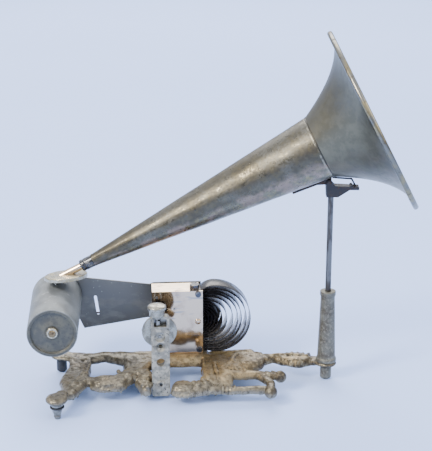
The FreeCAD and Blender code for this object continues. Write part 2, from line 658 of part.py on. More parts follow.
def pocket_through(body, sketch, name="Pocket"):
    feature = body.newObject("PartDesign::Pocket", name)
    feature.Profile = sketch
    feature.Type = "ThroughAll"
    feature.Midplane = True
    return feature


def turned(label, points, along="y"):
    """A turned piece: its profile, in radius and station, revolved about its own axis."""
    body = new_body(label)
    sketch = sketch_on(body, {"y": "XY_Plane", "z": "XZ_Plane"}[along], label + "_profile")
    outline(sketch, points)
    feature = body.newObject("PartDesign::Revolution", label + "_turned")
    feature.Profile = sketch
    feature.ReferenceAxis = (sketch, ["V_Axis"])
    feature.Angle = 360
    return body


def plate(label, points, thick, holes=()):
    """A flat plate facing the front, with its thickness towards the back."""
    body = new_body(label)
    sketch = sketch_on(body, "XZ_Plane", label + "_outline")
    outline(sketch, points)
    for x, z, radius in holes:
        circle(sketch, x, z, radius)
    pad(body, sketch, thick, label + "_pad", backwards=True)
    return body


def pitch_radius(teeth):
    return g["gear_module"] * teeth / 2


def tip_radius(teeth):
    return pitch_radius(teeth) + g["gear_module"] * 0.8


def root_radius(teeth):
    return pitch_radius(teeth) - g["gear_module"] * 1.1


def cut_teeth(body, label, teeth):
    """Cut the gaps between the teeth, the first one towards +X."""
    pitch = PI * g["gear_module"]
    tip, mid, low = tip_radius(teeth), pitch_radius(teeth), root_radius(teeth)
    whole = 180 / PI
    half_mid = 180 / teeth - pitch * 0.4 / 2 / mid * whole
    half_tip = 180 / teeth - pitch * 0.2 / 2 / tip * whole
    far = tip + g["gear_module"]
    side = [(low, half_mid), (mid, half_mid), (tip, half_tip), (far, half_tip)]
    points = [(radius * cosine(angle), radius * sine(angle)) for radius, angle in side]
    points += [(radius * cosine(angle), -(radius * sine(angle))) for radius, angle in reversed(side)]
    sketch = sketch_on(body, "XZ_Plane", label + "_gap")
    outline(sketch, points)
    gap = pocket_through(body, sketch, label + "_gap_cut")
    ring = body.newObject("PartDesign::PolarPattern", label + "_teeth")
    ring.Originals = [gap]
    ring.Axis = (sketch, ["N_Axis"])
    ring.Angle = 360
    bind(ring, "Occurrences", teeth)
    body.Tip = ring


def wheel(label, teeth, bore):
    """A toothed wheel with its front face at its own origin."""
    body = new_body(label)
    sketch = sketch_on(body, "XZ_Plane", label + "_disc")
    circle(sketch, 0, 0, tip_radius(teeth))
    circle(sketch, 0, 0, bore)
    pad(body, sketch, g["wheel_thick"], label + "_pad", backwards=True)
    cut_teeth(body, label, teeth)
    return body


# Places that several pieces share

X0 = g["column_x"]
Y0 = g["column_y"]
PLATE_X = keep("plate_x_place", X0 - g["plate_left"])
PLATE_Y = keep("plate_y_place", Y0 + g["plate_front"])
PLATE_IN = keep("plate_in_place", PLATE_Y + g["plate_thick"])
BACK_Y = keep("back_y_place", PLATE_IN + g["plate_space"])
BACK_END = keep("back_end_place", BACK_Y + g["plate_thick"])
ARBOR_X = keep("arbor_x_place", X0 - g["arbor_left"])
ARBOR_Z = g["arbor_height"]
SECOND_REACH = keep("second_reach_place",
                    pitch_radius(g["great_teeth"]) + pitch_radius(g["second_pinion_teeth"]))
SECOND_X = keep("second_x_place", ARBOR_X + SECOND_REACH * cosine(g["second_bearing"]))
SECOND_Z = keep("second_z_place", ARBOR_Z + SECOND_REACH * sine(g["second_bearing"]))
GOVERNOR_X = keep("governor_x_place", X0 - g["governor_left"])
GOVERNOR_Z = g["governor_height"]
POST_X = keep("post_x_place", X0 - g["post_left"])
POST_Y = keep("post_y_place", Y0 - g["post_ahead"])
POST_BACK = keep("post_back_place", POST_Y + g["post_depth"])
KNOB_X = keep("knob_x_place", X0 - g["knob_left"])
KNOB_Y = keep("knob_y_place", Y0 - g["knob_ahead"])
DISC_Y = keep("disc_y_place", Y0 - g["disc_ahead"])
BELT_Y = keep("belt_y_place", BACK_END + g["belt_behind"])
LUG_DEPTH = g["lug_thick"]
HORN_TURNS = [((0, 0, -1), g["horn_yaw"])]
HORN_AXIS = HORN_TURNS + [((0, 1, 0), 90 - g["horn_pitch"])]


def on_horn_plane(along, z, aside=0):
    """A place in the horn's plane, from its distance right of the rod and its height."""
    return (X0 + along * cosine(g["horn_yaw"]) + aside * sine(g["horn_yaw"]),
            Y0 - along * sine(g["horn_yaw"]) + aside * cosine(g["horn_yaw"]), as_size(z))


def on_horn_axis(before, left=0, below=0):
    """A place by the horn's axis: before the seam along it, then to the left and down in its plane."""
    return on_horn_plane(-g["seam_left"] - before * cosine(g["horn_pitch"]) - left,
                         g["seam_height"] - before * sine(g["horn_pitch"]) - below)


def in_box(across, height):
    """A place in the sound box's own frame, from its middle to the right and up along its axis."""
    lean, lift, yaw = g["box_lean"], g["box_raise"], g["horn_yaw"]
    x = across * cosine(lean) - height * cosine(lift) * sine(lean)
    y = height * sine(lift)
    z = across * sine(lean) + height * cosine(lift) * cosine(lean)
    return (BOX_PLACE[0] + x * cosine(yaw) + y * sine(yaw),
            BOX_PLACE[1] - x * sine(yaw) + y * cosine(yaw), BOX_PLACE[2] + z)


TUBE_STATION = g["cone_length"] + g["sleeve_length"]
BOX_STATION = TUBE_STATION + g["tube_length"]
BOX_PLACE = on_horn_axis(BOX_STATION, g["box_beyond"], g["box_below"])
BOX_TURNS = HORN_TURNS + [((0, -1, 0), g["box_lean"]), ((-1, 0, 0), g["box_raise"])]
MANDREL_X = keep("mandrel_x_place", BOX_PLACE[0] - g["mandrel_left"])
MANDREL_Y = keep("mandrel_y_place", BACK_Y - g["mandrel_to_arm"] - g["mandrel_length"])
MANDREL_Z = keep("mandrel_z_place", BOX_PLACE[2] - g["mandrel_below"])


def drive_place():
    """The drive arbor meshes with the second wheel and with the governor's pinion."""
    run_x = GOVERNOR_X - SECOND_X
    run_z = GOVERNOR_Z - SECOND_Z
    apart = keep("second_to_governor", root(run_x * run_x + run_z * run_z))
    from_second = pitch_radius(g["second_teeth"]) + pitch_radius(g["drive_pinion_teeth"])
    from_governor = pitch_radius(g["drive_teeth"]) + pitch_radius(g["governor_teeth"])
    along = (from_second * from_second - from_governor * from_governor + apart * apart) / 2 / apart
    aside = root(from_second * from_second - along * along)
    x = SECOND_X + (run_x * along - run_z * aside) / apart
    z = SECOND_Z + (run_z * along + run_x * aside) / apart
    return x, z


DRIVE_X, DRIVE_Z = drive_place()
DRIVE_X = keep("drive_x_place", DRIVE_X)
DRIVE_Z = keep("drive_z_place", DRIVE_Z)


# Casting, feet and column

def extrusion(sketch, name, length, way):
    """A solid drawn out from a closed sketch that stands by itself."""
    block = doc.addObject("Part::Extrusion", name)
    block.Base = sketch
    block.DirMode = "Custom"
    block.Dir = way
    block.Solid = True
    bind(block, "LengthFwd", length)
    return block


def lobe_block(name):
    left, behind, radius, end_left, end_behind, end_radius, low, top = [
        g["%s_%s" % (name, note)] for note in LOBE_NOTES]
    sketch = doc.addObject("Sketcher::SketchObject", name + "_outline")
    lobe_outline(sketch, X0 - left, Y0 + behind, radius, X0 - end_left, Y0 + end_behind, end_radius)
    place(sketch, 0, 0, low)
    return extrusion(sketch, name, top - low, FreeCAD.Vector(0, 0, 1))


def motor_seat():
    """Raised block under the motor, rounded along its front edge."""
    front, back, edge, top = g["seat_front"], g["seat_back"], g["seat_round"], g["motor_seat_top"]
    steps = 6
    curve = []
    for step in range(steps + 1):
        angle = 90 * step / steps
        curve.append((Y0 + front + edge - edge * cosine(angle), top - edge + edge * sine(angle)))
    sketch = doc.addObject("Sketcher::SketchObject", "motor_seat_section")
    outline(sketch, curve + [(Y0 + back, top), (Y0 + back, g["deck_low"]), (Y0 + front, g["deck_low"])])
    place(sketch, PLATE_X, 0, 0, [((1, 1, 1), 120)])
    return extrusion(sketch, "motor_seat", g["plate_width"] + g["seat_run_out"], FreeCAD.Vector(1, 0, 0))


def lug_places():
    """Middle and width of the casting's two upright lugs behind each motor plate."""
    wide = g["lug_width"]
    right = g["plate_width"] - g["right_lug_in"]
    return ((g["left_lug_in"], -wide / 2, wide), (right, -wide / 2, wide / 2 + g["right_lug_in"]))


def base_casting():
    blocks = [motor_seat()]
    for lobe in LOBES:
        blocks.append(lobe_block(lobe[0]))
    low, top, seat = g["deck_low"], g["deck_top"], g["motor_seat_top"]
    post, overlap = g["post_width"], g["seat_overlap"]
    post_run = Y0 + g["seat_front"] + 2 * overlap - POST_BACK
    blocks.append(box(POST_X - post / 2, POST_BACK, low, post, post_run, top - low))
    behind_seat = Y0 + g["seat_back"] - overlap
    for middle, start, wide in lug_places():
        x = PLATE_X + middle + start
        blocks.append(box(x, PLATE_IN, low, wide, LUG_DEPTH, g["lug_top"] - low))
        blocks.append(box(x, BACK_Y - LUG_DEPTH, low, wide, LUG_DEPTH, g["lug_top"] - low))
        blocks.append(box(x, behind_seat, low, wide, BACK_END - behind_seat, seat - low))
    for knop in KNOPS:
        left, behind, radius, height = [g["%s_%s" % (knop[0], note)] for note in KNOP_NOTES]
        blocks.append(ball(X0 - left, Y0 + behind, height, radius))
    stem = g["foot_stem"] + g["still_gap"]
    deep = g["foot_stem_depth"] + g["still_gap"]
    screw = g["screw_radius"] + g["still_gap"]
    front_x, front_y = X0 - g["front_foot_left"], Y0 - g["front_foot_ahead"]
    back_x, back_y = X0 - g["back_foot_left"], Y0 + g["back_foot_behind"]
    holes = [
        cylinder(X0, Y0, 0, stem, 2 * seat, "z"),
        cylinder(front_x, front_y, 0, stem, low + deep, "z"),
        cylinder(back_x, back_y, 0, stem, g["high_boss_low"] + deep, "z"),
        cylinder(POST_X, POST_BACK - 1, g["post_screw_height"], g["post_screw_radius"] + g["still_gap"], 10),
    ]
    for middle, start, wide in lug_places():
        x = PLATE_X + middle
        holes.append(cylinder(x, PLATE_Y, g["lug_screw_height"], screw, 2 * LUG_DEPTH + g["plate_thick"]))
        holes.append(cylinder(x, BACK_Y - 2 * LUG_DEPTH, g["lug_screw_height"], screw, 3 * LUG_DEPTH))
    cut("base_casting", fuse("casting_blocks", blocks), holes)


def front_left_foot():
    top = g["deck_low"] - g["foot_washer"]
    stem, stem_top = g["foot_stem"], g["deck_low"] + g["foot_stem_depth"]
    shoulder = g["foot_screw_shoulder"]
    foot = turned("front_left_foot", [
        (0, 0), (g["foot_screw_tip"], 0), (shoulder, top - g["foot_shoulder_height"]), (shoulder, top),
        (stem, top), (stem, stem_top), (0, stem_top)], "z")
    place(foot, X0 - g["front_foot_left"], Y0 - g["front_foot_ahead"], 0)


def front_foot_washer():
    inner = g["foot_stem"] + g["fit_gap"]
    outer = g["foot_screw_shoulder"] + g["foot_washer_rim"]
    high = g["foot_washer"]
    ring = turned("front_foot_washer", [(inner, 0), (outer, 0), (outer, high), (inner, high)], "z")
    place(ring, X0 - g["front_foot_left"], Y0 - g["front_foot_ahead"], g["deck_low"] - high)


def plain_foot(label, radius, stem_top, left, behind):
    edge = g["foot_edge"]
    low = g["high_boss_low"]
    foot = turned(label, [
        (0, 0), (radius - edge, 0), (radius, edge), (radius, low - edge), (radius - edge, low),
        (g["foot_stem"], low), (g["foot_stem"], stem_top), (0, stem_top)], "z")
    place(foot, X0 - left, Y0 + behind, 0)


def horn_column():
    seat = g["high_boss_top"]
    bore = g["rod_radius"] + g["fit_gap"]
    screw = g["foot_stem"] + g["still_gap"]
    top = g["column_top"] - seat
    neck = top - g["column_rim_height"]
    rod_end = g["rod_low"] - seat
    flange, flange_top = g["column_flange_radius"], g["column_flange_height"]
    column = turned("horn_column", [
        (screw, 0), (flange, 0), (flange, flange_top),
        (g["column_foot_radius"], flange_top + g["column_fillet"]),
        (g["column_neck_radius"], neck - 2 * g["column_fillet"]),
        (g["column_rim_radius"], neck), (g["column_rim_radius"], top),
        (bore, top), (bore, rod_end), (0, rod_end),
        (0, g["column_screw_depth"]), (screw, g["column_screw_depth"])], "z")
    place(column, X0, Y0, seat)


# Motor frame

def plate_holes(x0, front):
    """Places of the holes that both motor plates share, measured from the plate's lower left corner."""
    gap = g["fit_gap"]
    low = g["motor_seat_top"]
    pivot = g["pivot_radius"] + gap
    holes = [
        (ARBOR_X - x0, ARBOR_Z - low, g["arbor_journal"] + gap),
        (SECOND_X - x0, SECOND_Z - low, pivot),
        (DRIVE_X - x0, DRIVE_Z - low, pivot if front else g["small_arbor_radius"] + gap),
        (PLATE_X + g["left_lug_in"] - x0, g["lug_screw_height"] - low, g["screw_radius"] + g["still_gap"]),
        (PLATE_X + g["plate_width"] - g["right_lug_in"] - x0, g["lug_screw_height"] - low,
         g["screw_radius"] + g["still_gap"]),
    ]
    for height in pillar_heights():
        holes.append((pillar_x() - x0, height - low, g["pillar_tenon"] + g["still_gap"]))
    return holes


def pillar_x():
    return PLATE_X + g["pillar_in"]


def pillar_heights():
    return (g["plate_top"] - g["pillar_down"], g["motor_seat_top"] + g["pillar_up"])


def motor_front_plate():
    body = new_body("motor_front_plate")
    sketch = sketch_on(body, "XZ_Plane", "front_plate_outline")
    high = g["plate_top"] - g["motor_seat_top"]
    outline(sketch, [(0, 0), (g["plate_width"], 0), (g["plate_width"], high), (0, high)])
    for x, z, radius in plate_holes(PLATE_X, True):
        circle(sketch, x, z, radius)
    spindle_hole = g["spindle_radius"] + g["spindle_clearance"]
    circle(sketch, GOVERNOR_X - PLATE_X, GOVERNOR_Z - g["motor_seat_top"], spindle_hole)
    circle(sketch, g["sight_hole_in"], high - g["sight_hole_down"], g["sight_hole_radius"])
    corner_x, corner_z = corner_screw_place()
    circle(sketch, corner_x - PLATE_X, corner_z - g["motor_seat_top"], g["screw_radius"] + g["still_gap"])
    pad(body, sketch, g["plate_thick"], "front_plate_pad", backwards=True)
    flange = sketch_on(body, "XY_Plane", "flange_outline", high)
    right = g["plate_width"] - g["flange_inset"]
    outline(flange, [(0, 0), (right, 0), (right, g["flange_depth"]), (0, g["flange_depth"])])
    circle(flange, ARBOR_X - g["anchor_screw_left"] - PLATE_X, g["anchor_behind"],
           g["screw_radius"] + g["still_gap"])
    pad(body, flange, g["plate_thick"], "flange_pad", backwards=True)
    place(body, PLATE_X, PLATE_Y, g["motor_seat_top"])


def corner_screw_place():
    return ARBOR_X + g["corner_screw_right"], ARBOR_Z + g["corner_screw_above"]


def back_arm_plate():
    """Back plate of the motor and arm of the mandrel, stamped in one piece."""
    left = PLATE_X + g["back_plate_inset"]
    low = g["motor_seat_top"]
    right = PLATE_X + g["plate_width"]
    root_x = PLATE_X - g["arm_root_left"]
    top = g["plate_top"] - g["back_plate_drop"]
    points = [
        (left, low), (right, low), (right, top), (left, top),
        (root_x, g["plate_top"] - g["arm_root_top"]),
        (MANDREL_X + g["arm_top_left_x"], MANDREL_Z + g["arm_top_left_z"]),
    ]
    sides = 12
    end = g["arm_end_radius"]
    for step in range(sides + 1):
        angle = g["arm_end_start"] + g["arm_end_sweep"] * step / sides
        points.append((MANDREL_X + end * cosine(angle), MANDREL_Z + end * sine(angle)))
    points += [
        (MANDREL_X + g["arm_notch_x"], MANDREL_Z - g["arm_notch_z"]),
        (MANDREL_X + g["arm_low_left_x"], MANDREL_Z - g["arm_low_left_z"]),
        (root_x - g["arm_root_slant"], g["plate_top"] - g["arm_root_low"]),
        (left, g["plate_top"] - g["arm_root_low"] - 1),
    ]
    points = [(x - MANDREL_X, z - MANDREL_Z) for x, z in points]
    holes = [(x, z - (MANDREL_Z - low), radius) for x, z, radius in plate_holes(MANDREL_X, False)]
    holes.append((GOVERNOR_X - MANDREL_X, GOVERNOR_Z - MANDREL_Z, g["pivot_radius"] + g["fit_gap"]))
    holes.append((0, 0, g["bearing_radius"] + g["fit_gap"]))
    body = plate("back_arm_plate", points, g["plate_thick"], holes)
    slot = sketch_on(body, "XZ_Plane", "slot_outline")
    lobe_outline(slot, g["slot_top_x"], -g["slot_top_z"], g["slot_radius"],
                 g["slot_low_x"], -g["slot_low_z"], g["slot_radius"])
    pocket_through(body, slot, "slot_cut")
    place(body, MANDREL_X, BACK_Y, MANDREL_Z)


def plate_pillars():
    proud = g["tenon_head"]
    long = g["plate_space"] + 2 * (g["plate_thick"] + proud)
    pieces = []
    for height in pillar_heights():
        pieces.append(cylinder(0, g["plate_thick"], height, g["pillar_radius"], g["plate_space"]))
        pieces.append(cylinder(0, -proud, height, g["pillar_tenon"], long))
    place(fuse("plate_pillars", pieces), pillar_x(), PLATE_Y, 0)


def screw_pieces(x, y, z, length):
    """A cheese-head screw that enters towards the back."""
    sunk = g["screw_head_height"] / 2
    return [cylinder(x, y - 2 * sunk, z, g["screw_head_radius"], 2 * sunk),
            cylinder(x, y - sunk, z, g["screw_radius"], length + sunk)]


def plate_screws():
    left = g["left_lug_in"]
    right = g["plate_width"] - g["right_lug_in"]
    height = g["lug_screw_height"]
    pieces = []
    for x in (left, right):
        pieces += screw_pieces(x, 0, height, g["plate_thick"] + LUG_DEPTH)
        back = BACK_END - PLATE_Y
        shank = g["plate_thick"] + LUG_DEPTH
        pieces.append(cylinder(x, back, height, g["screw_head_radius"], g["screw_head_height"]))
        pieces.append(cylinder(x, back - shank, height, g["screw_radius"], shank + g["tenon_head"]))
    corner_x, corner_z = corner_screw_place()
    pieces += screw_pieces(corner_x - PLATE_X, 0, corner_z, g["plate_thick"] + g["screw_end"])
    place(fuse("plate_screws", pieces), PLATE_X, PLATE_Y, 0)


def anchor_screw():
    """Screw down through the flange, the ribbon's end and the tapped strip under it."""
    under = g["plate_thick"] + 2 * g["ribbon_seat"] + g["ribbon_thick"] + g["strip_thick"]
    wide, high = g["anchor_head_radius"], g["anchor_head_height"]
    cut_wide, cut_deep = g["screw_slot_width"], g["screw_slot_depth"]
    head = cylinder(0, 0, 0, wide, high, "z")
    slot = box(-wide, -cut_wide / 2, high - cut_deep, 2 * wide, cut_wide, 2 * cut_deep)
    shank = cylinder(0, 0, -under, g["screw_radius"], under + high / 2, "z")
    screw = cut("anchor_screw", fuse("anchor_screw_blank", [head, shank]), [slot])
    place(screw, ARBOR_X - g["anchor_screw_left"], PLATE_Y + g["anchor_behind"], g["plate_top"])


def spring_anchor_strip():
    thick, wide, deep = g["strip_thick"], g["strip_width"], g["strip_length"]
    bar = box(-wide / 2, -deep / 2, -thick, wide, deep, thick)
    hole = cylinder(0, 0, -2 * thick, g["screw_radius"] + g["still_gap"], 3 * thick, "z")
    under = g["plate_thick"] + 2 * g["ribbon_seat"] + g["ribbon_thick"]
    place(cut("spring_anchor_strip", bar, [hole]), ARBOR_X - g["anchor_screw_left"],
          PLATE_Y + g["anchor_behind"], g["plate_top"] - under)


def mandrel_bearing():
    bore = g["mandrel_shaft_radius"] + g["fit_gap"]
    tube, flange = g["bearing_radius"], g["bearing_flange_radius"]
    back = g["plate_thick"]
    piece = turned("mandrel_bearing", [
        (bore, -g["bearing_reach"]), (tube, -g["bearing_reach"]), (tube, -g["bearing_flange"]),
        (flange, -g["bearing_flange"]), (flange, 0), (tube, 0), (tube, back),
        (tube, back + g["bearing_tail"]), (bore, back + g["bearing_tail"])])
    place(piece, MANDREL_X, BACK_Y, MANDREL_Z)


# Governor post and regulator

def governor_pillar():
    body = new_body("governor_pillar")
    sketch = sketch_on(body, "XZ_Plane", "post_outline")
    half = g["post_width"] / 2
    low = g["post_low"]
    high = g["post_top"]
    ease = g["post_edge"]
    outline(sketch, [(-half, low + ease), (ease - half, low), (half - ease, low), (half, low + ease),
                     (half, high - ease), (half - ease, high), (ease - half, high), (-half, high - ease)])
    circle(sketch, 0, g["big_hole_height"], g["big_hole_radius"])
    circle(sketch, 0, g["sink_height"], g["sink_bore"])
    circle(sketch, 0, g["post_screw_height"], g["post_screw_radius"] + g["still_gap"])
    circle(sketch, GOVERNOR_X - POST_X, GOVERNOR_Z, g["pivot_radius"] + g["fit_gap"])
    window, tall = g["window_half"], g["window_radius"]
    middle = g["window_height"]
    outline(sketch, [(-window, middle - tall), (window, middle - tall),
                     (window, middle + tall), (-window, middle + tall)])
    pad(body, sketch, g["post_depth"], "post_pad", backwards=True)
    recess = sketch_on(body, "XZ_Plane", "bearing_recess_outline")
    circle(recess, GOVERNOR_X - POST_X, GOVERNOR_Z, g["recess_radius"])
    feature = body.newObject("PartDesign::Pocket", "bearing_recess")
    feature.Profile = recess
    feature.Reversed = False
    bind(feature, "Length", g["recess_depth"])
    sink = sketch_on(body, "XY_Plane", "sink_section", g["sink_height"])
    bore, mouth = g["sink_bore"], g["sink_radius"]
    outline(sink, [(0, 0), (mouth, 0), (bore, mouth - bore), (0, mouth - bore)])
    groove = body.newObject("PartDesign::Groove", "sink")
    groove.Profile = sink
    groove.ReferenceAxis = (sink, ["V_Axis"])
    groove.Angle = 360
    spindle = sketch_on(body, "XY_Plane", "regulator_bore", middle - tall - 3)
    circle(spindle, KNOB_X - POST_X, KNOB_Y - POST_Y, g["cam_spindle_radius"] + g["fit_gap"])
    bore = body.newObject("PartDesign::Pocket", "regulator_bore_cut")
    bore.Profile = spindle
    bore.Reversed = True
    bind(bore, "Length", high - middle + tall + 4)
    place(body, POST_X, POST_Y, 0)


def pillar_screw():
    head, high = g["post_screw_head"], g["post_screw_head_height"]
    slot_wide, slot_floor = g["post_screw_slot"], g["post_screw_slot_floor"]
    sunk = high / 2
    length = g["post_depth"] + g["post_screw_reach"] + sunk
    shank = cylinder(0, -sunk, 0, g["post_screw_radius"], length)
    blank = fuse("pillar_screw_blank", [cylinder(0, -high, 0, head, high), shank])
    slot = box(-2 * head, -2 * high, -slot_wide / 2, 4 * head, 2 * high - slot_floor, slot_wide)
    place(cut("pillar_screw", blank, [slot]), POST_X, POST_Y, g["post_screw_height"])


def brake_guide():
    half_x, half_z = g["guide_width"] / 2, g["guide_height"] / 2
    points = [(-half_x, -half_z), (half_x, -half_z), (half_x, half_z), (-half_x, half_z)]
    points = [(x + POST_X - KNOB_X, z) for x, z in points]
    guide = plate("brake_guide", points, g["guide_thick"], [(0, 0, g["plunger_radius"] + g["fit_gap"])])
    place(guide, KNOB_X, POST_BACK, g["window_height"])


def regulator_knob():
    bore = g["cam_spindle_radius"] + g["fit_gap"]
    high, ease = g["knob_height"], g["soft_edge"]
    floor = high - g["knob_cap"]
    neck, rim = g["knob_neck_radius"], g["knob_radius"]
    knob = turned("regulator_knob", [
        (bore, 0), (neck - ease, 0), (neck, ease), (neck, high * 0.36), (rim - ease, high * 0.46),
        (rim, high * 0.52), (rim, high * 0.86), (rim - 2 * ease, high * 0.97), (rim - 4 * ease, high),
        (0, high), (0, floor), (bore, floor)], "z")
    place(knob, KNOB_X, KNOB_Y, g["post_top"] + g["clear_gap"])


def regulator_cam():
    low = g["window_height"] - g["window_radius"] - g["cam_tail"]
    high = g["post_top"] + g["clear_gap"] + g["knob_height"] - g["knob_cap"] - g["still_gap"]
    spindle = cylinder(0, 0, low, g["cam_spindle_radius"], high - low, "z")
    eccentric = cylinder(g["cam_offset"], 0, g["window_height"] - g["cam_height"] / 2, g["cam_radius"],
                         g["cam_height"], "z")
    place(fuse("regulator_cam", [spindle, eccentric]), KNOB_X, KNOB_Y, 0)


def brake_plunger():
    head = g["cam_radius"] + g["cam_play"]
    tip = DISC_Y - g["brake_gap"] - g["pad_thick"] - KNOB_Y
    big, thin = g["plunger_head"], g["plunger_radius"]
    neck = head + g["plunger_head_thick"]
    plunger = turned("brake_plunger", [
        (0, head), (big, head), (big, neck), (thin, neck), (thin, tip), (0, tip)])
    place(plunger, KNOB_X, KNOB_Y, g["window_height"])


def brake_pad():
    pad_piece = cylinder(0, 0, 0, g["pad_radius"], g["pad_thick"])
    pad_piece.Label = "brake_pad"
    place(pad_piece, KNOB_X, DISC_Y - g["brake_gap"] - g["pad_thick"], g["window_height"],
          [((1, 0, 0), -90)])


# Train

def mesh_phase(bearing, driver_phase, driver_teeth, teeth):
    """Turn of a wheel that puts its gaps on the teeth of the wheel that it meets."""
    return bearing + 180 - 180 / teeth + (bearing - driver_phase) * driver_teeth / teeth


def direction(from_x, from_z, to_x, to_z):
    """Direction from one axis to the next, in degrees, for the turn of a toothed wheel."""
    run_x, run_z = to_x - from_x, to_z - from_z
    value = math.degrees(math.atan2(run_z.value, run_x.value))
    return Size(value, "(atan2(%s; %s) / 1 deg)" % (run_z.text, run_x.text))


TO_DRIVE = keep("drive_bearing", direction(SECOND_X, SECOND_Z, DRIVE_X, DRIVE_Z))
TO_GOVERNOR = keep("governor_bearing", direction(DRIVE_X, DRIVE_Z, GOVERNOR_X, GOVERNOR_Z))
SECOND_PHASE = keep("second_phase",
                    mesh_phase(g["second_bearing"], 0, g["great_teeth"], g["second_pinion_teeth"]))
DRIVE_PHASE = keep("drive_phase",
                   mesh_phase(TO_DRIVE, 0, g["second_teeth"], g["drive_pinion_teeth"]))
GOVERNOR_PHASE = keep("governor_phase",
                      mesh_phase(TO_GOVERNOR, 0, g["drive_teeth"], g["governor_teeth"]))


def great_wheel():
    body = wheel("great_wheel", g["great_teeth"], g["arbor_journal"] + g["fit_gap"])
    hub = sketch_on(body, "XZ_Plane", "great_hub", -g["wheel_thick"] / 2)
    circle(hub, 0, 0, g["great_hub_radius"])
    circle(hub, 0, 0, g["arbor_journal"] + g["fit_gap"])
    pad(body, hub, g["wheel_thick"] / 2 + g["great_hub_length"], "great_hub_pad", backwards=True)
    pin = sketch_on(body, "XZ_Plane", "click_pin_hole")
    angle, reach = g["click_tooth"] + g["click_ahead"], g["click_reach"]
    circle(pin, reach * cosine(angle), reach * sine(angle), g["click_pin"] + g["still_gap"])
    pocket_through(body, pin, "click_pin_cut")
    place(body, ARBOR_X, PLATE_Y + g["great_wheel_back"], ARBOR_Z)


def ratchet_wheel():
    body = new_body("ratchet_wheel")
    disc = sketch_on(body, "XZ_Plane", "ratchet_disc")
    circle(disc, 0, 0, g["ratchet_tip"])
    circle(disc, 0, 0, g["arbor_radius"] + g["fit_gap"])
    pad(body, disc, g["ratchet_thick"], "ratchet_pad", backwards=True)
    gap = sketch_on(body, "XZ_Plane", "ratchet_gap")
    low, far = g["ratchet_root"], g["ratchet_tip"] + 0.4
    slope = 360 / g["ratchet_teeth"] * 0.94
    outline(gap, [(low, 0), (far, 0), (far * cosine(slope), far * sine(slope))])
    notch = pocket_through(body, gap, "ratchet_notch")
    ring = body.newObject("PartDesign::PolarPattern", "ratchet_teeth_ring")
    ring.Originals = [notch]
    ring.Axis = (gap, ["N_Axis"])
    ring.Angle = 360
    bind(ring, "Occurrences", g["ratchet_teeth"])
    body.Tip = ring
    place(body, ARBOR_X, RATCHET_Y, ARBOR_Z, [(TURN_Y_DOWN, g["click_tooth"])])


RATCHET_Y = PLATE_Y + g["great_wheel_back"] - g["clear_gap"] - g["ratchet_thick"]


def click():
    """Pawl of the winding ratchet: an eye on its stud and a nose behind a tooth."""
    angle = g["click_ahead"]
    nose_angle = g["click_nose_ahead"]
    nose_reach = g["ratchet_tip"] + g["click_clear"] + g["click_nose"]
    eye_x, eye_z = g["click_reach"] * cosine(angle), g["click_reach"] * sine(angle)
    body = new_body("click")
    sketch = sketch_on(body, "XZ_Plane", "click_outline")
    nose_x, nose_z = nose_reach * cosine(nose_angle), nose_reach * sine(nose_angle)
    lobe_outline(sketch, eye_x, eye_z, g["click_eye"], nose_x, nose_z, g["click_nose"])
    circle(sketch, eye_x, eye_z, g["click_pin"] + g["fit_gap"])
    pad(body, sketch, g["ratchet_thick"], "click_pad", backwards=True)
    place(body, ARBOR_X, RATCHET_Y, ARBOR_Z, [(TURN_Y_DOWN, g["click_tooth"])])


def click_stud():
    angle = g["click_ahead"]
    x, z = g["click_reach"] * cosine(angle), g["click_reach"] * sine(angle)
    head = 0.6
    reach = g["ratchet_thick"] + g["clear_gap"] + g["wheel_thick"]
    stud = fuse("click_stud", [cylinder(x, -head - g["clear_gap"] / 2, z, g["click_eye"], head),
                               cylinder(x, -g["clear_gap"], z, g["click_pin"], reach + g["clear_gap"])])
    place(stud, ARBOR_X, RATCHET_Y, ARBOR_Z, [(TURN_Y_DOWN, g["click_tooth"])])


def click_spring():
    """Leaf that presses the click home, riveted to the great wheel beside it."""
    body = new_body("click_spring")
    sketch = sketch_on(body, "XZ_Plane", "click_spring_outline")
    eye_x, eye_z = g["click_reach"] * cosine(g["click_ahead"]), g["click_reach"] * sine(g["click_ahead"])
    lobe_outline(sketch, eye_x + 3.4, eye_z - 10, 1.2, eye_x + 1.9, eye_z - 3, g["click_spring_wire"])
    pad(body, sketch, g["ratchet_thick"] + g["clear_gap"], "click_spring_pad", backwards=True)
    place(body, ARBOR_X, RATCHET_Y, ARBOR_Z, [(TURN_Y_DOWN, g["click_tooth"])])


def spring_arbor():
    journal, core = g["arbor_journal"], g["arbor_radius"]
    ratchet_back = RATCHET_Y - PLATE_Y + g["ratchet_thick"]
    back = BACK_END - PLATE_Y + g["clear_gap"]
    half = g["key_square"] / 2
    round_part = turned("spring_arbor_round", [
        (0, -1.5), (1.2, -1.5), (2.2, -1), (journal, -0.3), (journal, g["plate_thick"] + g["clear_gap"]),
        (core, g["plate_thick"] + g["clear_gap"]), (core, ratchet_back), (journal, ratchet_back),
        (journal, back), (0, back)])
    square = box(-half, back - 1, -half, g["key_square"], g["key_length"] * 0.4 + 1, g["key_square"])
    place(fuse("spring_arbor", [round_part, square]), ARBOR_X, PLATE_Y, ARBOR_Z)


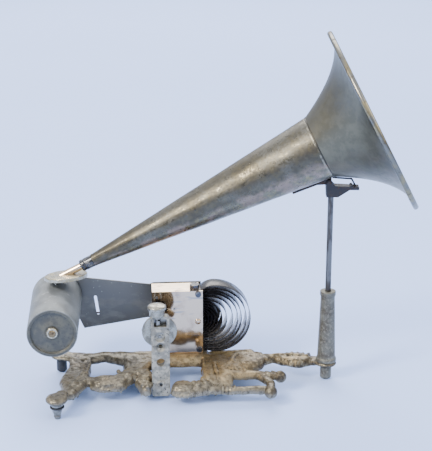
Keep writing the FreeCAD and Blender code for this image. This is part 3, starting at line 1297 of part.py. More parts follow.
def winding_key():
    start = BACK_END + g["clear_gap"] + 0.5
    hole = g["key_square"] + 2 * g["fit_gap"]
    barrel_length = g["key_length"] - g["key_bow_radius"]
    barrel = cylinder(0, 0, 0, g["key_barrel_radius"], barrel_length)
    socket = box(-hole / 2, -1, -hole / 2, hole, g["key_length"] * 0.4 + 1.5, hole)
    bow = doc.addObject("Part::Torus", "Bow")
    bind(bow, "Radius1", g["key_bow_radius"])
    bind(bow, "Radius2", g["key_bow_wire"])
    place(bow, 0, barrel_length + g["key_bow_radius"] - g["key_bow_wire"] / 2, 0, [((0, 1, 0), 90)])
    key = cut("winding_key", fuse("winding_key_blank", [barrel, bow]), [socket])
    place(key, ARBOR_X, start, ARBOR_Z)


def pinion_arbor(label, x, z, teeth, pinion_middle, phase, front, back, shoulder):
    """A small arbor with its pinion cut on it, in stations behind the front plate's face."""
    thin, pivot, tip = g["small_arbor_radius"], g["pivot_radius"], tip_radius(teeth)
    first = pinion_middle - g["pinion_length"] / 2
    last = pinion_middle + g["pinion_length"] / 2
    end = shoulder + g["plate_thick"] + g["clear_gap"]
    body = turned(label, [
        (0, front), (pivot, front), (pivot, back), (thin, back), (thin, first), (tip, first), (tip, last),
        (thin, last), (thin, shoulder), (pivot, shoulder), (pivot, end), (0, end)])
    cut_teeth(body, label, teeth)
    place(body, x, PLATE_Y, z, [(TURN_Y_DOWN, phase)])


def second_arbor():
    middle = g["great_wheel_back"] + g["wheel_thick"] / 2
    inner = g["plate_thick"] + g["clear_gap"] / 2
    shoulder = BACK_Y - PLATE_Y - g["clear_gap"] / 2
    front = -g["clear_gap"]
    pinion_arbor("second_arbor", SECOND_X, SECOND_Z, g["second_pinion_teeth"], middle, SECOND_PHASE,
                 front, inner, shoulder)


def second_wheel():
    body = wheel("second_wheel", g["second_teeth"], g["small_arbor_radius"] + g["fit_gap"] / 5)
    place(body, SECOND_X, PLATE_Y + g["second_wheel_back"], SECOND_Z)


def drive_arbor():
    middle = g["second_wheel_back"] + g["wheel_thick"] / 2
    thin, pivot = g["small_arbor_radius"], g["pivot_radius"]
    tip = tip_radius(g["drive_pinion_teeth"])
    first, last = middle - g["pinion_length"] / 2, middle + g["pinion_length"] / 2
    inner = g["plate_thick"] + g["clear_gap"] / 2
    front = g["drive_pivot_in"]
    end = BELT_Y + g["pulley_width"] / 2 - PLATE_Y + g["tenon_head"]
    body = turned("drive_arbor", [
        (0, front), (pivot, front), (pivot, inner), (thin, inner),
        (thin, first), (tip, first), (tip, last), (thin, last), (thin, end), (0, end)])
    cut_teeth(body, "drive_arbor", g["drive_pinion_teeth"])
    place(body, DRIVE_X, PLATE_Y, DRIVE_Z, [(TURN_Y_DOWN, DRIVE_PHASE)])


def drive_wheel():
    body = wheel("drive_wheel", g["drive_teeth"], g["small_arbor_radius"] + g["fit_gap"] / 5)
    place(body, DRIVE_X, PLATE_Y + g["drive_wheel_back"], DRIVE_Z)


def pulley(label, line, bore, x, z):
    """A pulley with a groove around the belt."""
    half = g["pulley_width"] / 2
    mouth = g["belt_radius"] + g["belt_play"]
    deep = line - mouth
    lip = line + g["pulley_lip"]
    slope = mouth + g["plain_edge"]
    body = turned(label, [
        (bore, -half), (lip, -half), (lip, -slope), (deep, -mouth), (deep, mouth), (lip, slope),
        (lip, half), (bore, half)])
    place(body, x, BELT_Y, z)


def governor_spindle():
    front = POST_Y + g["recess_depth"] - PLATE_Y - g["spindle_in_recess"]
    shoulder = POST_BACK + g["clear_gap"] - PLATE_Y
    thin, pivot = g["spindle_radius"], g["pivot_radius"]
    middle = g["drive_wheel_back"] + g["wheel_thick"] / 2
    tip = tip_radius(g["governor_teeth"])
    first, last = middle - g["pinion_length"] / 2, middle + g["pinion_length"] / 2
    back = BACK_Y - g["clear_gap"] / 2 - PLATE_Y
    end = BACK_END - PLATE_Y + g["clear_gap"]
    body = turned("governor_spindle", [
        (0, front), (pivot, front), (pivot, shoulder), (thin, shoulder),
        (thin, first), (tip, first), (tip, last), (thin, last),
        (thin, back), (pivot, back), (pivot, end), (0, end)])
    cut_teeth(body, "governor_spindle", g["governor_teeth"])
    place(body, GOVERNOR_X, PLATE_Y, GOVERNOR_Z, [(TURN_Y_DOWN, GOVERNOR_PHASE)])


COLLAR_Y = PLATE_Y - g["collar_gap"] - g["collar_length"]
HUB_END = DISC_Y + g["disc_thick"] + g["disc_hub_length"]


def governor_collar():
    bore = g["spindle_radius"] + g["fit_gap"] / 5
    outer, long = g["collar_radius"], g["collar_length"]
    piece = turned("governor_collar", [(bore, 0), (outer, 0), (outer, long), (bore, long)])
    place(piece, GOVERNOR_X, COLLAR_Y, GOVERNOR_Z)


def governor_disc():
    bore = g["spindle_radius"] + g["fit_gap"]
    thick, hub = g["disc_thick"], g["disc_hub_radius"]
    rim, ease = g["disc_radius"], g["fine_edge"]
    end = thick + g["disc_hub_length"]
    piece = turned("governor_disc", [
        (bore, 0), (rim - ease, 0), (rim, ease), (rim, thick - ease), (rim - ease, thick),
        (hub, thick), (hub, end), (bore, end)])
    place(piece, GOVERNOR_X, DISC_Y, GOVERNOR_Z)


def blade_place():
    """Middle of the blades' span, half that span, and the bow of a blade."""
    start = HUB_END - g["blade_width"] / 2
    end = COLLAR_Y + g["blade_width"] / 2
    inner = g["collar_radius"] + g["fit_gap"]
    rise = g["weight_orbit"] - g["weight_radius"] + 0.2 - inner - g["blade_thick"]
    half = (end - start) / 2
    return (start + end) / 2, half, inner, rise, (half * half + rise * rise) / 2 / rise


def governor_springs():
    """Three bowed blades between a ring on the disc's hub and a ring on the collar."""
    middle, half, inner, rise, bow = blade_place()
    outer = inner + g["blade_thick"]
    ring_wide = g["blade_width"] / 2
    pieces = []
    for start in (-half - ring_wide, half):
        tube = cut("blade_ring", cylinder(0, start, 0, outer, ring_wide),
                   [cylinder(0, start - 1, 0, inner, ring_wide + 2)])
        pieces.append(tube)
    centre = inner + rise - bow
    wide = g["blade_width"]
    slab = cut("bowed_slab", cylinder(-wide / 2, 0, centre, bow + g["blade_thick"], wide, "x"),
               [cylinder(-wide / 2 - 1, 0, centre, bow, wide + 2, "x")])
    blade = doc.addObject("Part::Common", "Blade")
    blade.Base = slab
    blade.Tool = box(-wide, -half, inner, 2 * wide, 2 * half, rise + 2)
    for number in range(3):
        copy = doc.addObject("Part::Compound", "Blade_turned")
        copy.Links = [blade]
        place(copy, 0, 0, 0, [((0, 1, 0), number * 120)])
        pieces.append(copy)
    place(fuse("governor_springs", pieces), GOVERNOR_X, middle, GOVERNOR_Z)


def governor_weights():
    middle, half, inner, rise, bow = blade_place()
    low = inner + rise + g["blade_thick"] + g["fit_gap"]
    pieces = []
    for number in range(3):
        weight = doc.addObject("Part::Cone", "Weight")
        bind(weight, "Radius1", g["weight_radius"])
        bind(weight, "Radius2", g["weight_radius"] - 1)
        bind(weight, "Height", g["weight_orbit"] + g["weight_radius"] - low)
        turn = number * 120
        place(weight, low * sine(turn), 0, low * cosine(turn), [((0, 1, 0), turn)])
        pieces.append(weight)
    place(fuse("governor_weights", pieces), GOVERNOR_X, middle, GOVERNOR_Z)


# Mandrel and belt

def mandrel():
    front, back, wall = g["mandrel_front_radius"], g["mandrel_back_radius"], g["mandrel_wall"]
    web_back = g["mandrel_recess"] + g["mandrel_web"]
    hub = g["mandrel_hub_radius"]
    hub_end = web_back + g["mandrel_hub_length"]
    bore = g["mandrel_shaft_radius"] + g["fit_gap"]
    ease, long = g["mandrel_edge"], g["mandrel_length"]
    rim, recess = front - g["mandrel_rim"], g["mandrel_recess"]
    body = turned("mandrel", [
        (front - ease, 0), (front, ease), (back, long), (back - wall, long),
        (front - wall, web_back), (hub, web_back), (hub, hub_end), (bore, hub_end), (bore, recess),
        (rim, recess), (rim, 0)])
    place(body, MANDREL_X, MANDREL_Y, MANDREL_Z)


def mandrel_shaft():
    end = BELT_Y + g["pulley_width"] / 2 + g["shaft_tail"] - MANDREL_Y
    radius, ease = g["mandrel_shaft_radius"], g["plain_edge"]
    start = -g["shaft_proud"]
    body = turned("mandrel_shaft", [
        (0, start), (radius - ease, start), (radius, start + ease), (radius, end), (0, end)])
    place(body, MANDREL_X, MANDREL_Y, MANDREL_Z)


def mandrel_nut():
    bore = g["mandrel_shaft_radius"] + g["fit_gap"]
    high, rim, ease = g["nut_height"], g["nut_radius"], g["plain_edge"]
    body = turned("mandrel_nut", [(bore, 0), (rim - ease, 0), (rim, ease), (rim, high), (bore, high)])
    place(body, MANDREL_X, MANDREL_Y + g["mandrel_recess"] - high, MANDREL_Z)


def drive_belt():
    """Closed round belt in a plane behind the arm plate."""
    big, small = g["mandrel_pulley_radius"].value, g["drive_pulley_radius"].value
    run = FreeCAD.Vector(DRIVE_X.value - MANDREL_X.value, 0, DRIVE_Z.value - MANDREL_Z.value)
    heading = math.atan2(run.z, run.x)
    lean = math.acos((big - small) / run.Length)

    def on_circle(centre, radius, angle):
        return centre + FreeCAD.Vector(radius * math.cos(angle), 0, radius * math.sin(angle))

    zero = FreeCAD.Vector(0, 0, 0)
    top_big = on_circle(zero, big, heading + lean)
    top_small = on_circle(run, small, heading + lean)
    low_small = on_circle(run, small, heading - lean)
    low_big = on_circle(zero, big, heading - lean)
    edges = [Part.makeLine(top_big, top_small),
             Part.Arc(top_small, on_circle(run, small, heading), low_small).toShape(),
             Part.makeLine(low_small, low_big),
             Part.Arc(low_big, on_circle(zero, big, heading + math.pi), top_big).toShape()]
    section = Part.Wire(Part.makeCircle(g["belt_radius"].value, top_big, top_small - top_big))
    belt = doc.addObject("Part::Feature", "drive_belt")
    belt.Label = "drive_belt"
    belt.Shape = Part.Wire(edges).makePipeShell([section], True, False)
    place(belt, MANDREL_X, BELT_Y, MANDREL_Z)


# Mainspring

def spring_edges():
    """Half turns of the ribbon's middle line, from the arbor to its flat end under the flange."""
    def point(x, z):
        return FreeCAD.Vector(x, 0, z)

    def arc(start, middle, end):
        return Part.Arc(point(*start), point(*middle), point(*end)).toShape()

    inner = g["arbor_radius"].value + g["still_gap"].value + g["ribbon_thick"].value / 2
    rights = [inner + g["core_step_right"].value * turn for turn in range(int(g["core_turns"].value))]
    rights += [g["open_turn_%d" % turn].value for turn in range(1, 8)]
    lefts = [inner + g["turn_step_left"].value * turn for turn in range(len(rights))]
    edges = []
    for turn, right in enumerate(rights):
        left = lefts[turn]
        edges.append(arc((-left, 0), ((right - left) / 2, -(right + left) / 2), (right, 0)))
        if turn + 1 < len(rights):
            after = lefts[turn + 1]
            edges.append(arc((right, 0), ((right - after) / 2, (right + after) / 2), (-after, 0)))
    rise = g["outer_turn_rise"].value
    outer = rights[-1]
    top_x = outer - rise
    edges.append(arc((outer, 0), (top_x + rise * math.sqrt(0.5), rise * math.sqrt(0.5)), (top_x, rise)))
    flat = g["plate_top"] - g["plate_thick"] - g["ribbon_seat"] - g["ribbon_thick"] / 2 - g["arbor_height"]
    flat_z = flat.value
    flange_end = (PLATE_X + g["plate_width"] - g["flange_inset"] - ARBOR_X - 2 * g["still_gap"]).value
    drop, run = rise - flat_z, top_x - flange_end
    bend = 2 * math.atan2(drop, run)
    small = g["end_bend"].value
    large = run / math.sin(bend) - small
    half = bend / 2
    meet = (top_x - large * math.sin(bend), rise - large * (1 - math.cos(bend)))
    halfway = (top_x - large * math.sin(half), rise - large * (1 - math.cos(half)))
    edges.append(arc((top_x, rise), halfway, meet))
    centre = (flange_end, flat_z + small)
    edges.append(arc(meet, (centre[0] + small * math.sin(half), centre[1] - small * math.cos(half)),
                     (flange_end, flat_z)))
    end = flange_end - g["end_flat"].value
    edges.append(Part.makeLine(point(flange_end, flat_z), point(end, flat_z)))
    return edges


def mainspring():
    edges = spring_edges()
    inner = -edges[0].Vertexes[0].X
    thick, wide = g["ribbon_thick"].value, g["ribbon_width"].value
    out, back = -inner - thick / 2, -inner + thick / 2
    corners = [(out, 0), (back, 0), (back, wide), (out, wide)]
    section = Part.makePolygon([FreeCAD.Vector(x, y, 0) for x, y in corners + corners[:1]])
    ribbon = Part.Wire(edges).makePipeShell([section], True, False)
    hole = Part.makeCylinder(g["screw_radius"].value + g["still_gap"].value, 4,
                             FreeCAD.Vector(-g["anchor_screw_left"].value,
                                            g["anchor_behind"].value - g["ribbon_back"].value,
                                            edges[-1].Vertexes[0].Z - 2))
    spring = doc.addObject("Part::Feature", "mainspring")
    spring.Label = "mainspring"
    spring.Shape = ribbon.cut(hole)
    place(spring, ARBOR_X, PLATE_Y + g["ribbon_back"], ARBOR_Z)
    length = sum(edge.Length for edge in edges)
    print("mainspring: %d solid, volume %.0f, section times length %.0f"
          % (len(ribbon.Solids), ribbon.Volume, thick * wide * length))
    print("mainspring: least gap between turns %.2f mm" % least_gap(edges, thick))


def least_gap(edges, thick):
    """Least gap of the ribbon to itself, measured on its middle line half a turn and more away."""
    steps = 40
    points = []
    for edge in edges:
        points += edge.discretize(steps)[:-1]
    least = 1e9
    for index, point in enumerate(points):
        for away in points[index + steps:]:
            least = min(least, point.distanceToPoint(away))
    return least - thick


# Rod, cradle and horn

SEAM = on_horn_plane(-g["seam_left"], g["seam_height"])


def from_seam(along, z):
    """Stations of a point in the horn's own frame: out from the axis on its lower side, and along it."""
    run, rise = along + g["seam_left"], z - g["seam_height"]
    out = run * sine(g["horn_pitch"]) - rise * cosine(g["horn_pitch"])
    up = run * cosine(g["horn_pitch"]) + rise * sine(g["horn_pitch"])
    return out, up


def support_rod():
    high = g["rod_socket_top"] - g["rod_low"]
    radius, ease, start = g["rod_radius"], g["plain_edge"], g["clear_gap"]
    rod = turned("support_rod", [
        (0, start), (radius - ease, start), (radius, start + ease), (radius, high), (0, high)], "z")
    place(rod, X0, Y0, g["rod_low"])


def cradle_head():
    """Head on the rod: cheeks around the horn's lug and an arm with a forked tip."""
    body = new_body("cradle_head")
    low = g["socket_low"]
    sketch = sketch_on(body, "XZ_Plane", "cradle_outline")
    pin_z = g["pivot_height"] - low
    cheek = g["cheek_radius"]
    tip = g["cradle_arm_tip"]
    tip_low, tip_top = g["cradle_tip_low"] - low, g["cradle_tip_top"] - low
    nub, nub_high, nub_half = g["wire_reach"], g["nub_height"], g["nub_width"] / 2
    pin_x = -g["pivot_left"]
    slant = cheek * 0.7
    outline(sketch, [
        (-g["socket_left"], 0), (g["socket_right"], 0), (g["gusset_end"], tip_low),
        (tip, tip_low), (tip, tip_top), (nub + nub_half - 0.2, tip_top + 0.3),
        (nub + nub_half - 0.8, tip_top + nub_high), (nub - nub_half + 0.4, tip_top + nub_high),
        (nub - nub_half - 0.2, tip_top + 0.4), (3, g["cradle_arm_top"] - low),
        (pin_x + cheek, pin_z - 0.5), (pin_x + slant, pin_z + slant), (pin_x, pin_z + cheek),
        (pin_x - slant, pin_z + slant), (pin_x - cheek, pin_z), (-g["socket_left"] - 0.6, pin_z - 4)])
    pad(body, sketch, g["cradle_width"], "cradle_pad", middle=True)
    rod_hole = sketch_on(body, "XY_Plane", "rod_socket")
    circle(rod_hole, 0, 0, g["rod_radius"] + g["fit_gap"] / 5)
    socket = body.newObject("PartDesign::Pocket", "rod_socket_cut")
    socket.Profile = rod_hole
    socket.Reversed = True
    bind(socket, "Length", g["rod_socket_top"] - low)
    slot = sketch_on(body, "YZ_Plane", "lug_slot_outline")
    half, floor = g["lug_slot"] / 2, g["slot_floor"] - low
    outline(slot, [(-half, floor), (half, floor), (half, pin_z + 2 * cheek), (-half, pin_z + 2 * cheek)])
    pocket_through(body, slot, "lug_slot_cut")
    pin = sketch_on(body, "XZ_Plane", "tilt_pin_hole")
    circle(pin, -g["pivot_left"], pin_z, g["tilt_pin_radius"] + g["fit_gap"] / 5)
    pocket_through(body, pin, "tilt_pin_cut")
    fork = sketch_on(body, "XY_Plane", "fork_outline")
    gap = g["fork_gap"] / 2
    outline(fork, [(g["fork_root"], -gap), (tip + 1, -gap), (tip + 1, gap), (g["fork_root"], gap)])
    pocket_through(body, fork, "fork_cut")
    place(body, X0, Y0, low, HORN_TURNS)


def tilt_pin():
    proud, thick = g["pin_proud"], g["pin_head_thick"]
    half = g["cradle_width"] / 2 + proud
    x, y, z = on_horn_plane(-g["pivot_left"], g["pivot_height"])
    pin = cylinder(0, -half, 0, g["tilt_pin_radius"], 2 * half)
    head = cylinder(0, -half - proud, 0, g["pin_head_radius"], thick)
    place(fuse("tilt_pin", [pin, head]), x, y, z, HORN_TURNS)


def horn_cone():
    small, large, wall = g["cone_small_radius"], g["cone_large_radius"], g["horn_wall"]
    long = g["cone_length"]
    body = turned("horn_cone", [(small - wall, 0), (small, 0), (large, long), (large - wall, long)], "z")
    x, y, z = on_horn_axis(g["cone_length"])
    place(body, x, y, z, HORN_AXIS)


def bell_curve(wall):
    """The bell's profile as one curve, moved in by a wall."""
    depth, rim, seam = g["bell_depth"].value, g["bell_radius"].value, g["cone_large_radius"].value
    part = g["bell_share"].value
    bend = (2 * depth * part / 2, seam + (rim - seam) * part / 2)
    end = (depth * (1 - (1 - part) ** 2), seam + (rim - seam) * part)
    start = (wall * 0.45, seam - wall * 0.9)
    poles = [start, (bend[0] + wall, bend[1] - wall * 0.6), (end[0] + wall, end[1])]
    curve = Part.BezierCurve()
    curve.setPoles([FreeCAD.Vector(radius, 0, station) for station, radius in poles])
    return curve.toShape()


def horn_bell():
    outer, inner = bell_curve(0), bell_curve(g["horn_wall"].value)
    edges = [outer, Part.makeLine(outer.Vertexes[1].Point, inner.Vertexes[1].Point), inner,
             Part.makeLine(inner.Vertexes[0].Point, outer.Vertexes[0].Point)]
    face = Part.Face(Part.Wire(Part.__sortEdges__(edges)))
    bell = doc.addObject("Part::Feature", "horn_bell")
    bell.Label = "horn_bell"
    bell.Shape = face.revolve(FreeCAD.Vector(0, 0, 0), FreeCAD.Vector(0, 0, 1), 360)
    place(bell, SEAM[0], SEAM[1], SEAM[2], HORN_AXIS)


def horn_rim_bead():
    bead = doc.addObject("Part::Torus", "horn_rim_bead")
    bead.Label = "horn_rim_bead"
    bind(bead, "Radius1", g["bell_radius"])
    bind(bead, "Radius2", g["bead_radius"])
    x, y, z = on_horn_axis(-g["bell_depth"])
    place(bead, x, y, z, HORN_AXIS)


def horn_bracket():
    """Strap under the cone with the lug that hangs on the tilt pin, drawn along the cone's underside."""
    thick, half = g["strap_thick"], g["lug_plate"] / 2
    slope = (g["cone_large_radius"] - g["cone_small_radius"]) / g["cone_length"]
    out, up = from_seam(-g["pivot_left"], g["pivot_height"])
    under = 0.05

    def skin(station):
        return g["cone_large_radius"] + slope * station + under

    body = new_body("horn_bracket")
    sketch = sketch_on(body, "XZ_Plane", "strap_outline")
    back, front = -g["strap_back"], -g["strap_front"]
    outline(sketch, [(skin(back), back), (skin(front), front),
                     (skin(front) + thick, front), (skin(back) + thick, back)])
    pad(body, sketch, g["strap_width"], "strap_pad", middle=True)
    lug = sketch_on(body, "XZ_Plane", "lug_outline")
    end = g["lug_radius"]
    slant = end * 0.7
    outline(lug, [(skin(front - 6), front - 6), (skin(0) - 0.3, up + 4), (out, up + end),
                  (out + slant, up + slant), (out + end, up), (out + slant, up - slant),
                  (skin(front) + thick, front - 6)])
    pad(body, lug, 2 * half, "lug_pad", middle=True)
    hole = sketch_on(body, "XZ_Plane", "lug_hole")
    circle(hole, out, up, g["tilt_pin_radius"] + g["fit_gap"])
    pocket_through(body, hole, "lug_hole_cut")
    place(body, SEAM[0], SEAM[1], SEAM[2], HORN_AXIS)


def horn_wire():
    """Steadying wire from the lug, out under the bell and down through the fork."""
    radius = g["wire_radius"]
    start_along, start_z = -g["pivot_left"] + 2.8, g["pivot_height"] + 3.4
    points = [(start_along, start_z), (g["wire_reach"], g["wire_bend_height"]),
              (g["wire_foot_reach"], g["wire_foot_height"])]
    points = [(as_size(along), as_size(z)) for along, z in points]
    pieces = []
    for here, there in zip(points, points[1:]):
        run_x, run_z = there[0] - here[0], there[1] - here[1]
        length = root(run_x * run_x + run_z * run_z)
        rod = doc.addObject("Part::Cylinder", "Rod")
        bind(rod, "Radius", radius)
        bind(rod, "Height", length)
        lean = math.degrees(math.atan2(run_x.value, run_z.value))
        angle = Size(lean, "atan2(%s; %s)" % (run_x.text, run_z.text))
        place(rod, here[0], 0, here[1] - start_z, [((0, 1, 0), angle)])
        pieces.append(rod)
    pieces.append(ball(points[1][0], 0, points[1][1] - start_z, radius))
    place(fuse("horn_wire", pieces), X0, Y0, start_z, HORN_TURNS)


def horn_sleeve():
    bore = g["tube_radius"] + g["fit_gap"] / 5
    plug = g["cone_small_radius"] - g["horn_wall"] - g["still_gap"]
    length, gap = g["sleeve_length"], g["still_gap"]
    outer, ease, deep = g["sleeve_radius"], g["soft_edge"], g["sleeve_plug"]
    body = turned("horn_sleeve", [
        (bore, -length), (outer - ease, -length), (outer, ease - length), (outer, -gap),
        (plug, -gap), (plug, deep), (bore, deep)], "z")
    x, y, z = on_horn_axis(g["cone_length"])
    place(body, x, y, z, HORN_AXIS)


def sound_tube():
    """Tube from the sleeve, cut off along the top of the sound box."""
    x, y, z = on_horn_axis(TUBE_STATION)
    spare = g["tube_spare"]
    length = g["tube_length"] + spare + g["tube_insert"]
    tube = cylinder(0, 0, 0, g["tube_radius"], length, "z")
    bore = cylinder(0, 0, 0, g["tube_bore"], length + 2, "z")
    for piece, extra in ((tube, 0), (bore, 1)):
        px, py, pz = on_horn_axis(BOX_STATION + spare + extra)
        place(piece, px - x, py - y, pz - z, HORN_AXIS)
    deep = 2 * g["box_radius"]
    below = doc.addObject("Part::Cylinder", "Below")
    bind(below, "Radius", deep)
    bind(below, "Height", deep)
    sink = deep - g["box_thick"] / 2 - g["fit_gap"]
    low_x, low_y, low_z = in_box(0, -sink)
    place(below, low_x - x, low_y - y, low_z - z, BOX_TURNS)
    whole = cut("sound_tube", tube, [fuse("sound_tube_cuts", [bore, below])])
    place(whole, x, y, z)


def box_layer(label, points):
    piece = turned(label, points, "z")
    place(piece, BOX_PLACE[0], BOX_PLACE[1], BOX_PLACE[2], BOX_TURNS)


def sound_box():
    """Shell, ring, gaskets and diaphragm, stacked in the shell from its top wall down."""
    top = g["box_thick"] / 2
    low = -top
    outer, inner = g["box_radius"], g["box_radius"] - g["box_side_wall"]
    roof = top - g["box_top_wall"]
    throat, ease, seat = g["box_throat"], g["plain_edge"], g["seat_gap"]
    box_layer("sound_box_shell", [
        (throat, roof), (throat, top), (outer - ease, top), (outer, top - ease), (outer, low),
        (inner, low), (inner, roof)])
    edge = inner - g["fit_gap"]
    gasket_in = edge - g["gasket_width"]
    first = roof - seat - g["gasket_thick"]
    skin = first - seat - g["diaphragm_thick"]
    second = skin - seat - g["gasket_thick"]
    gaskets = []
    for name, under, over in (("upper_gasket", first, roof - seat), ("lower_gasket", second, skin - seat)):
        ring = [(gasket_in, under), (edge, under), (edge, over), (gasket_in, over)]
        gaskets.append(turned(name, ring, "z"))
    pair = fuse("diaphragm_gaskets", gaskets)
    place(pair, BOX_PLACE[0], BOX_PLACE[1], BOX_PLACE[2], BOX_TURNS)
    box_layer("diaphragm", [(0, skin), (edge, skin), (edge, first - seat), (0, first - seat)])
    ring_top = second - seat
    ring_in = edge - g["box_ring_width"]
    box_layer("sound_box_ring", [(ring_in, low), (edge, low), (edge, ring_top), (ring_in, ring_top)])
    return skin, low


def stylus_parts(skin, low):
    """Bar hinged under the ring, joined to the middle of the diaphragm, with the stylus in it."""
    middle = low - g["bar_drop"]
    radius = g["bar_radius"]
    bar = cylinder(-g["bar_left"], 0, middle, radius, g["bar_left"] + 1, "x")
    seat = g["seat_gap"]
    post = cylinder(0, 0, middle, radius * 0.7, skin - middle - seat, "z")
    hinge_long, hinge_wide, under = g["hinge_length"], g["hinge_width"], g["hinge_under"]
    hinge = box(-g["bar_left"] - hinge_long / 4, -hinge_wide / 2, middle - under,
                hinge_long, hinge_wide, low - middle + under - seat)
    place(fuse("stylus_bar", [bar, post, hinge]), BOX_PLACE[0], BOX_PLACE[1], BOX_PLACE[2], BOX_TURNS)
    reach = g["stylus_reach"] + middle - radius
    tip, top = g["stylus_tip_radius"], g["stylus_radius"]
    body = turned("stylus", [(0, -reach), (tip, -reach), (top, -reach * 0.3), (top, 0), (0, 0)], "z")
    x, y, z = in_box(-g["stylus_left"], middle - radius - seat)
    place(body, x, y, z, BOX_TURNS)


def build():
    base_casting()
    front_left_foot()
    front_foot_washer()
    stem_top = g["high_boss_low"] + g["foot_stem_depth"]
    plain_foot("back_left_foot", g["rubber_foot_radius"], stem_top,
               g["back_foot_left"], g["back_foot_behind"])
    stem_top = g["high_boss_top"] + g["column_screw_depth"] - g["foot_stem_play"]
    plain_foot("right_foot", g["right_foot_radius"], stem_top, 0, 0)
    horn_column()
    motor_front_plate()
    back_arm_plate()
    plate_pillars()
    plate_screws()
    anchor_screw()
    spring_anchor_strip()
    mandrel_bearing()
    governor_pillar()
    pillar_screw()
    brake_guide()
    mainspring()
    drive_belt()
    great_wheel()
    click_stud()
    click_spring()
    click()
    spring_arbor()
    ratchet_wheel()
    winding_key()
    second_arbor()
    second_wheel()
    drive_arbor()
    drive_wheel()
    tight = g["fit_gap"] / 5
    pulley("drive_pulley", g["drive_pulley_radius"], g["small_arbor_radius"] + tight, DRIVE_X, DRIVE_Z)
    mandrel()
    mandrel_shaft()
    mandrel_nut()
    pulley("mandrel_pulley", g["mandrel_pulley_radius"], g["mandrel_shaft_radius"] + tight,
           MANDREL_X, MANDREL_Z)
    governor_spindle()
    governor_collar()
    governor_springs()
    governor_weights()
    governor_disc()
    regulator_knob()
    regulator_cam()
    brake_plunger()
    brake_pad()
    support_rod()
    cradle_head()
    tilt_pin()
    horn_cone()
    horn_bell()
    horn_rim_bead()
    horn_bracket()
    horn_wire()
    horn_sleeve()
    sound_tube()
    stylus_parts(*sound_box())


NODES = [
    "base_casting", "front_left_foot", "front_foot_washer", "back_left_foot", "right_foot",
    "horn_column", "motor_front_plate", "back_arm_plate", "plate_pillars", "plate_screws",
    "anchor_screw", "spring_anchor_strip", "mandrel_bearing", "governor_pillar", "pillar_screw",
    "brake_guide", "mainspring", "drive_belt", "great_wheel", "click_stud", "click_spring", "click",
    "spring_arbor", "ratchet_wheel", "winding_key", "second_arbor", "second_wheel", "drive_arbor",
    "drive_wheel", "drive_pulley", "mandrel", "mandrel_shaft", "mandrel_nut", "mandrel_pulley",
    "governor_spindle", "governor_collar", "governor_springs", "governor_weights", "governor_disc",
    "regulator_knob", "regulator_cam", "brake_plunger", "brake_pad", "support_rod", "cradle_head",
    "tilt_pin", "horn_cone", "horn_bell", "horn_rim_bead", "horn_bracket", "horn_wire", "horn_sleeve",
    "sound_tube", "sound_box_shell", "sound_box_ring", "diaphragm_gaskets", "diaphragm", "stylus_bar",
    "stylus",
]


def export():
    doc.recompute()
    for thing in doc.Objects:
        if "Invalid" in thing.State or "Error" in thing.State:
            raise RuntimeError("%s (%s) is not valid: %s" % (thing.Label, thing.Name, thing.State))
    os.makedirs(NODE_FOLDER, exist_ok=True)
    whole = FreeCAD.BoundBox()
    for name in NODES:
        piece = doc.getObjectsByLabel(name)[0]
        if piece.Shape.isNull() or not piece.Shape.isValid():
            raise RuntimeError(name + " has no valid shape")
        piece.Shape.exportStep("%s/%s.step" % (NODE_FOLDER, name))
        whole.add(piece.Shape.BoundBox)
        print("%-20s %d solid, %9.1f cubic mm" % (name, len(piece.Shape.Solids), piece.Shape.Volume))
    print("box", whole)


build()
export()
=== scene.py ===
import itertools
import json
import math
import random

import bmesh
import bpy
import numpy as np
from bpy.props import FloatProperty, FloatVectorProperty, PointerProperty
from mathutils import Matrix, Vector, noise

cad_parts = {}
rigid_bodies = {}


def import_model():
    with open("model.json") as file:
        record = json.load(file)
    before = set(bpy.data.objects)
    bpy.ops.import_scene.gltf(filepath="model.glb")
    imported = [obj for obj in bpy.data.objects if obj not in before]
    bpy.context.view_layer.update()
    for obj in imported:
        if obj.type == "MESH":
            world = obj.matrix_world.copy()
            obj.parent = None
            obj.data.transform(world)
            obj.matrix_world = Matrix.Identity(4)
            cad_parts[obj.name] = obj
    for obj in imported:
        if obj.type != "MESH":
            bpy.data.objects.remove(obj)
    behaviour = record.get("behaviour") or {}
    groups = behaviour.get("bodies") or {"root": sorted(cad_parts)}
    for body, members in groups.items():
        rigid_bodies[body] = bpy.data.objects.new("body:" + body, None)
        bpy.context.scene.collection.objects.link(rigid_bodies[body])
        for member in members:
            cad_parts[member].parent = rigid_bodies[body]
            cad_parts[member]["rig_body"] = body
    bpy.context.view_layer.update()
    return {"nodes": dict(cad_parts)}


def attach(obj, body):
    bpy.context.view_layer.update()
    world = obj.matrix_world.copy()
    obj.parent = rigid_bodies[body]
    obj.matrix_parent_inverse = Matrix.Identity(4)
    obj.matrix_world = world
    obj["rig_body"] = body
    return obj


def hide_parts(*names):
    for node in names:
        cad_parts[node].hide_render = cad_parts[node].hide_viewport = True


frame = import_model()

bl_info = {
    "name": "Horn phonograph",
    "version": (1, 0, 0),
    "blender": (4, 5, 0),
    "location": "View3D > Sidebar > Phonograph",
    "description": "Dresses the phonograph's frame and sets its studio",
    "category": "Object",
}

MM = 0.001

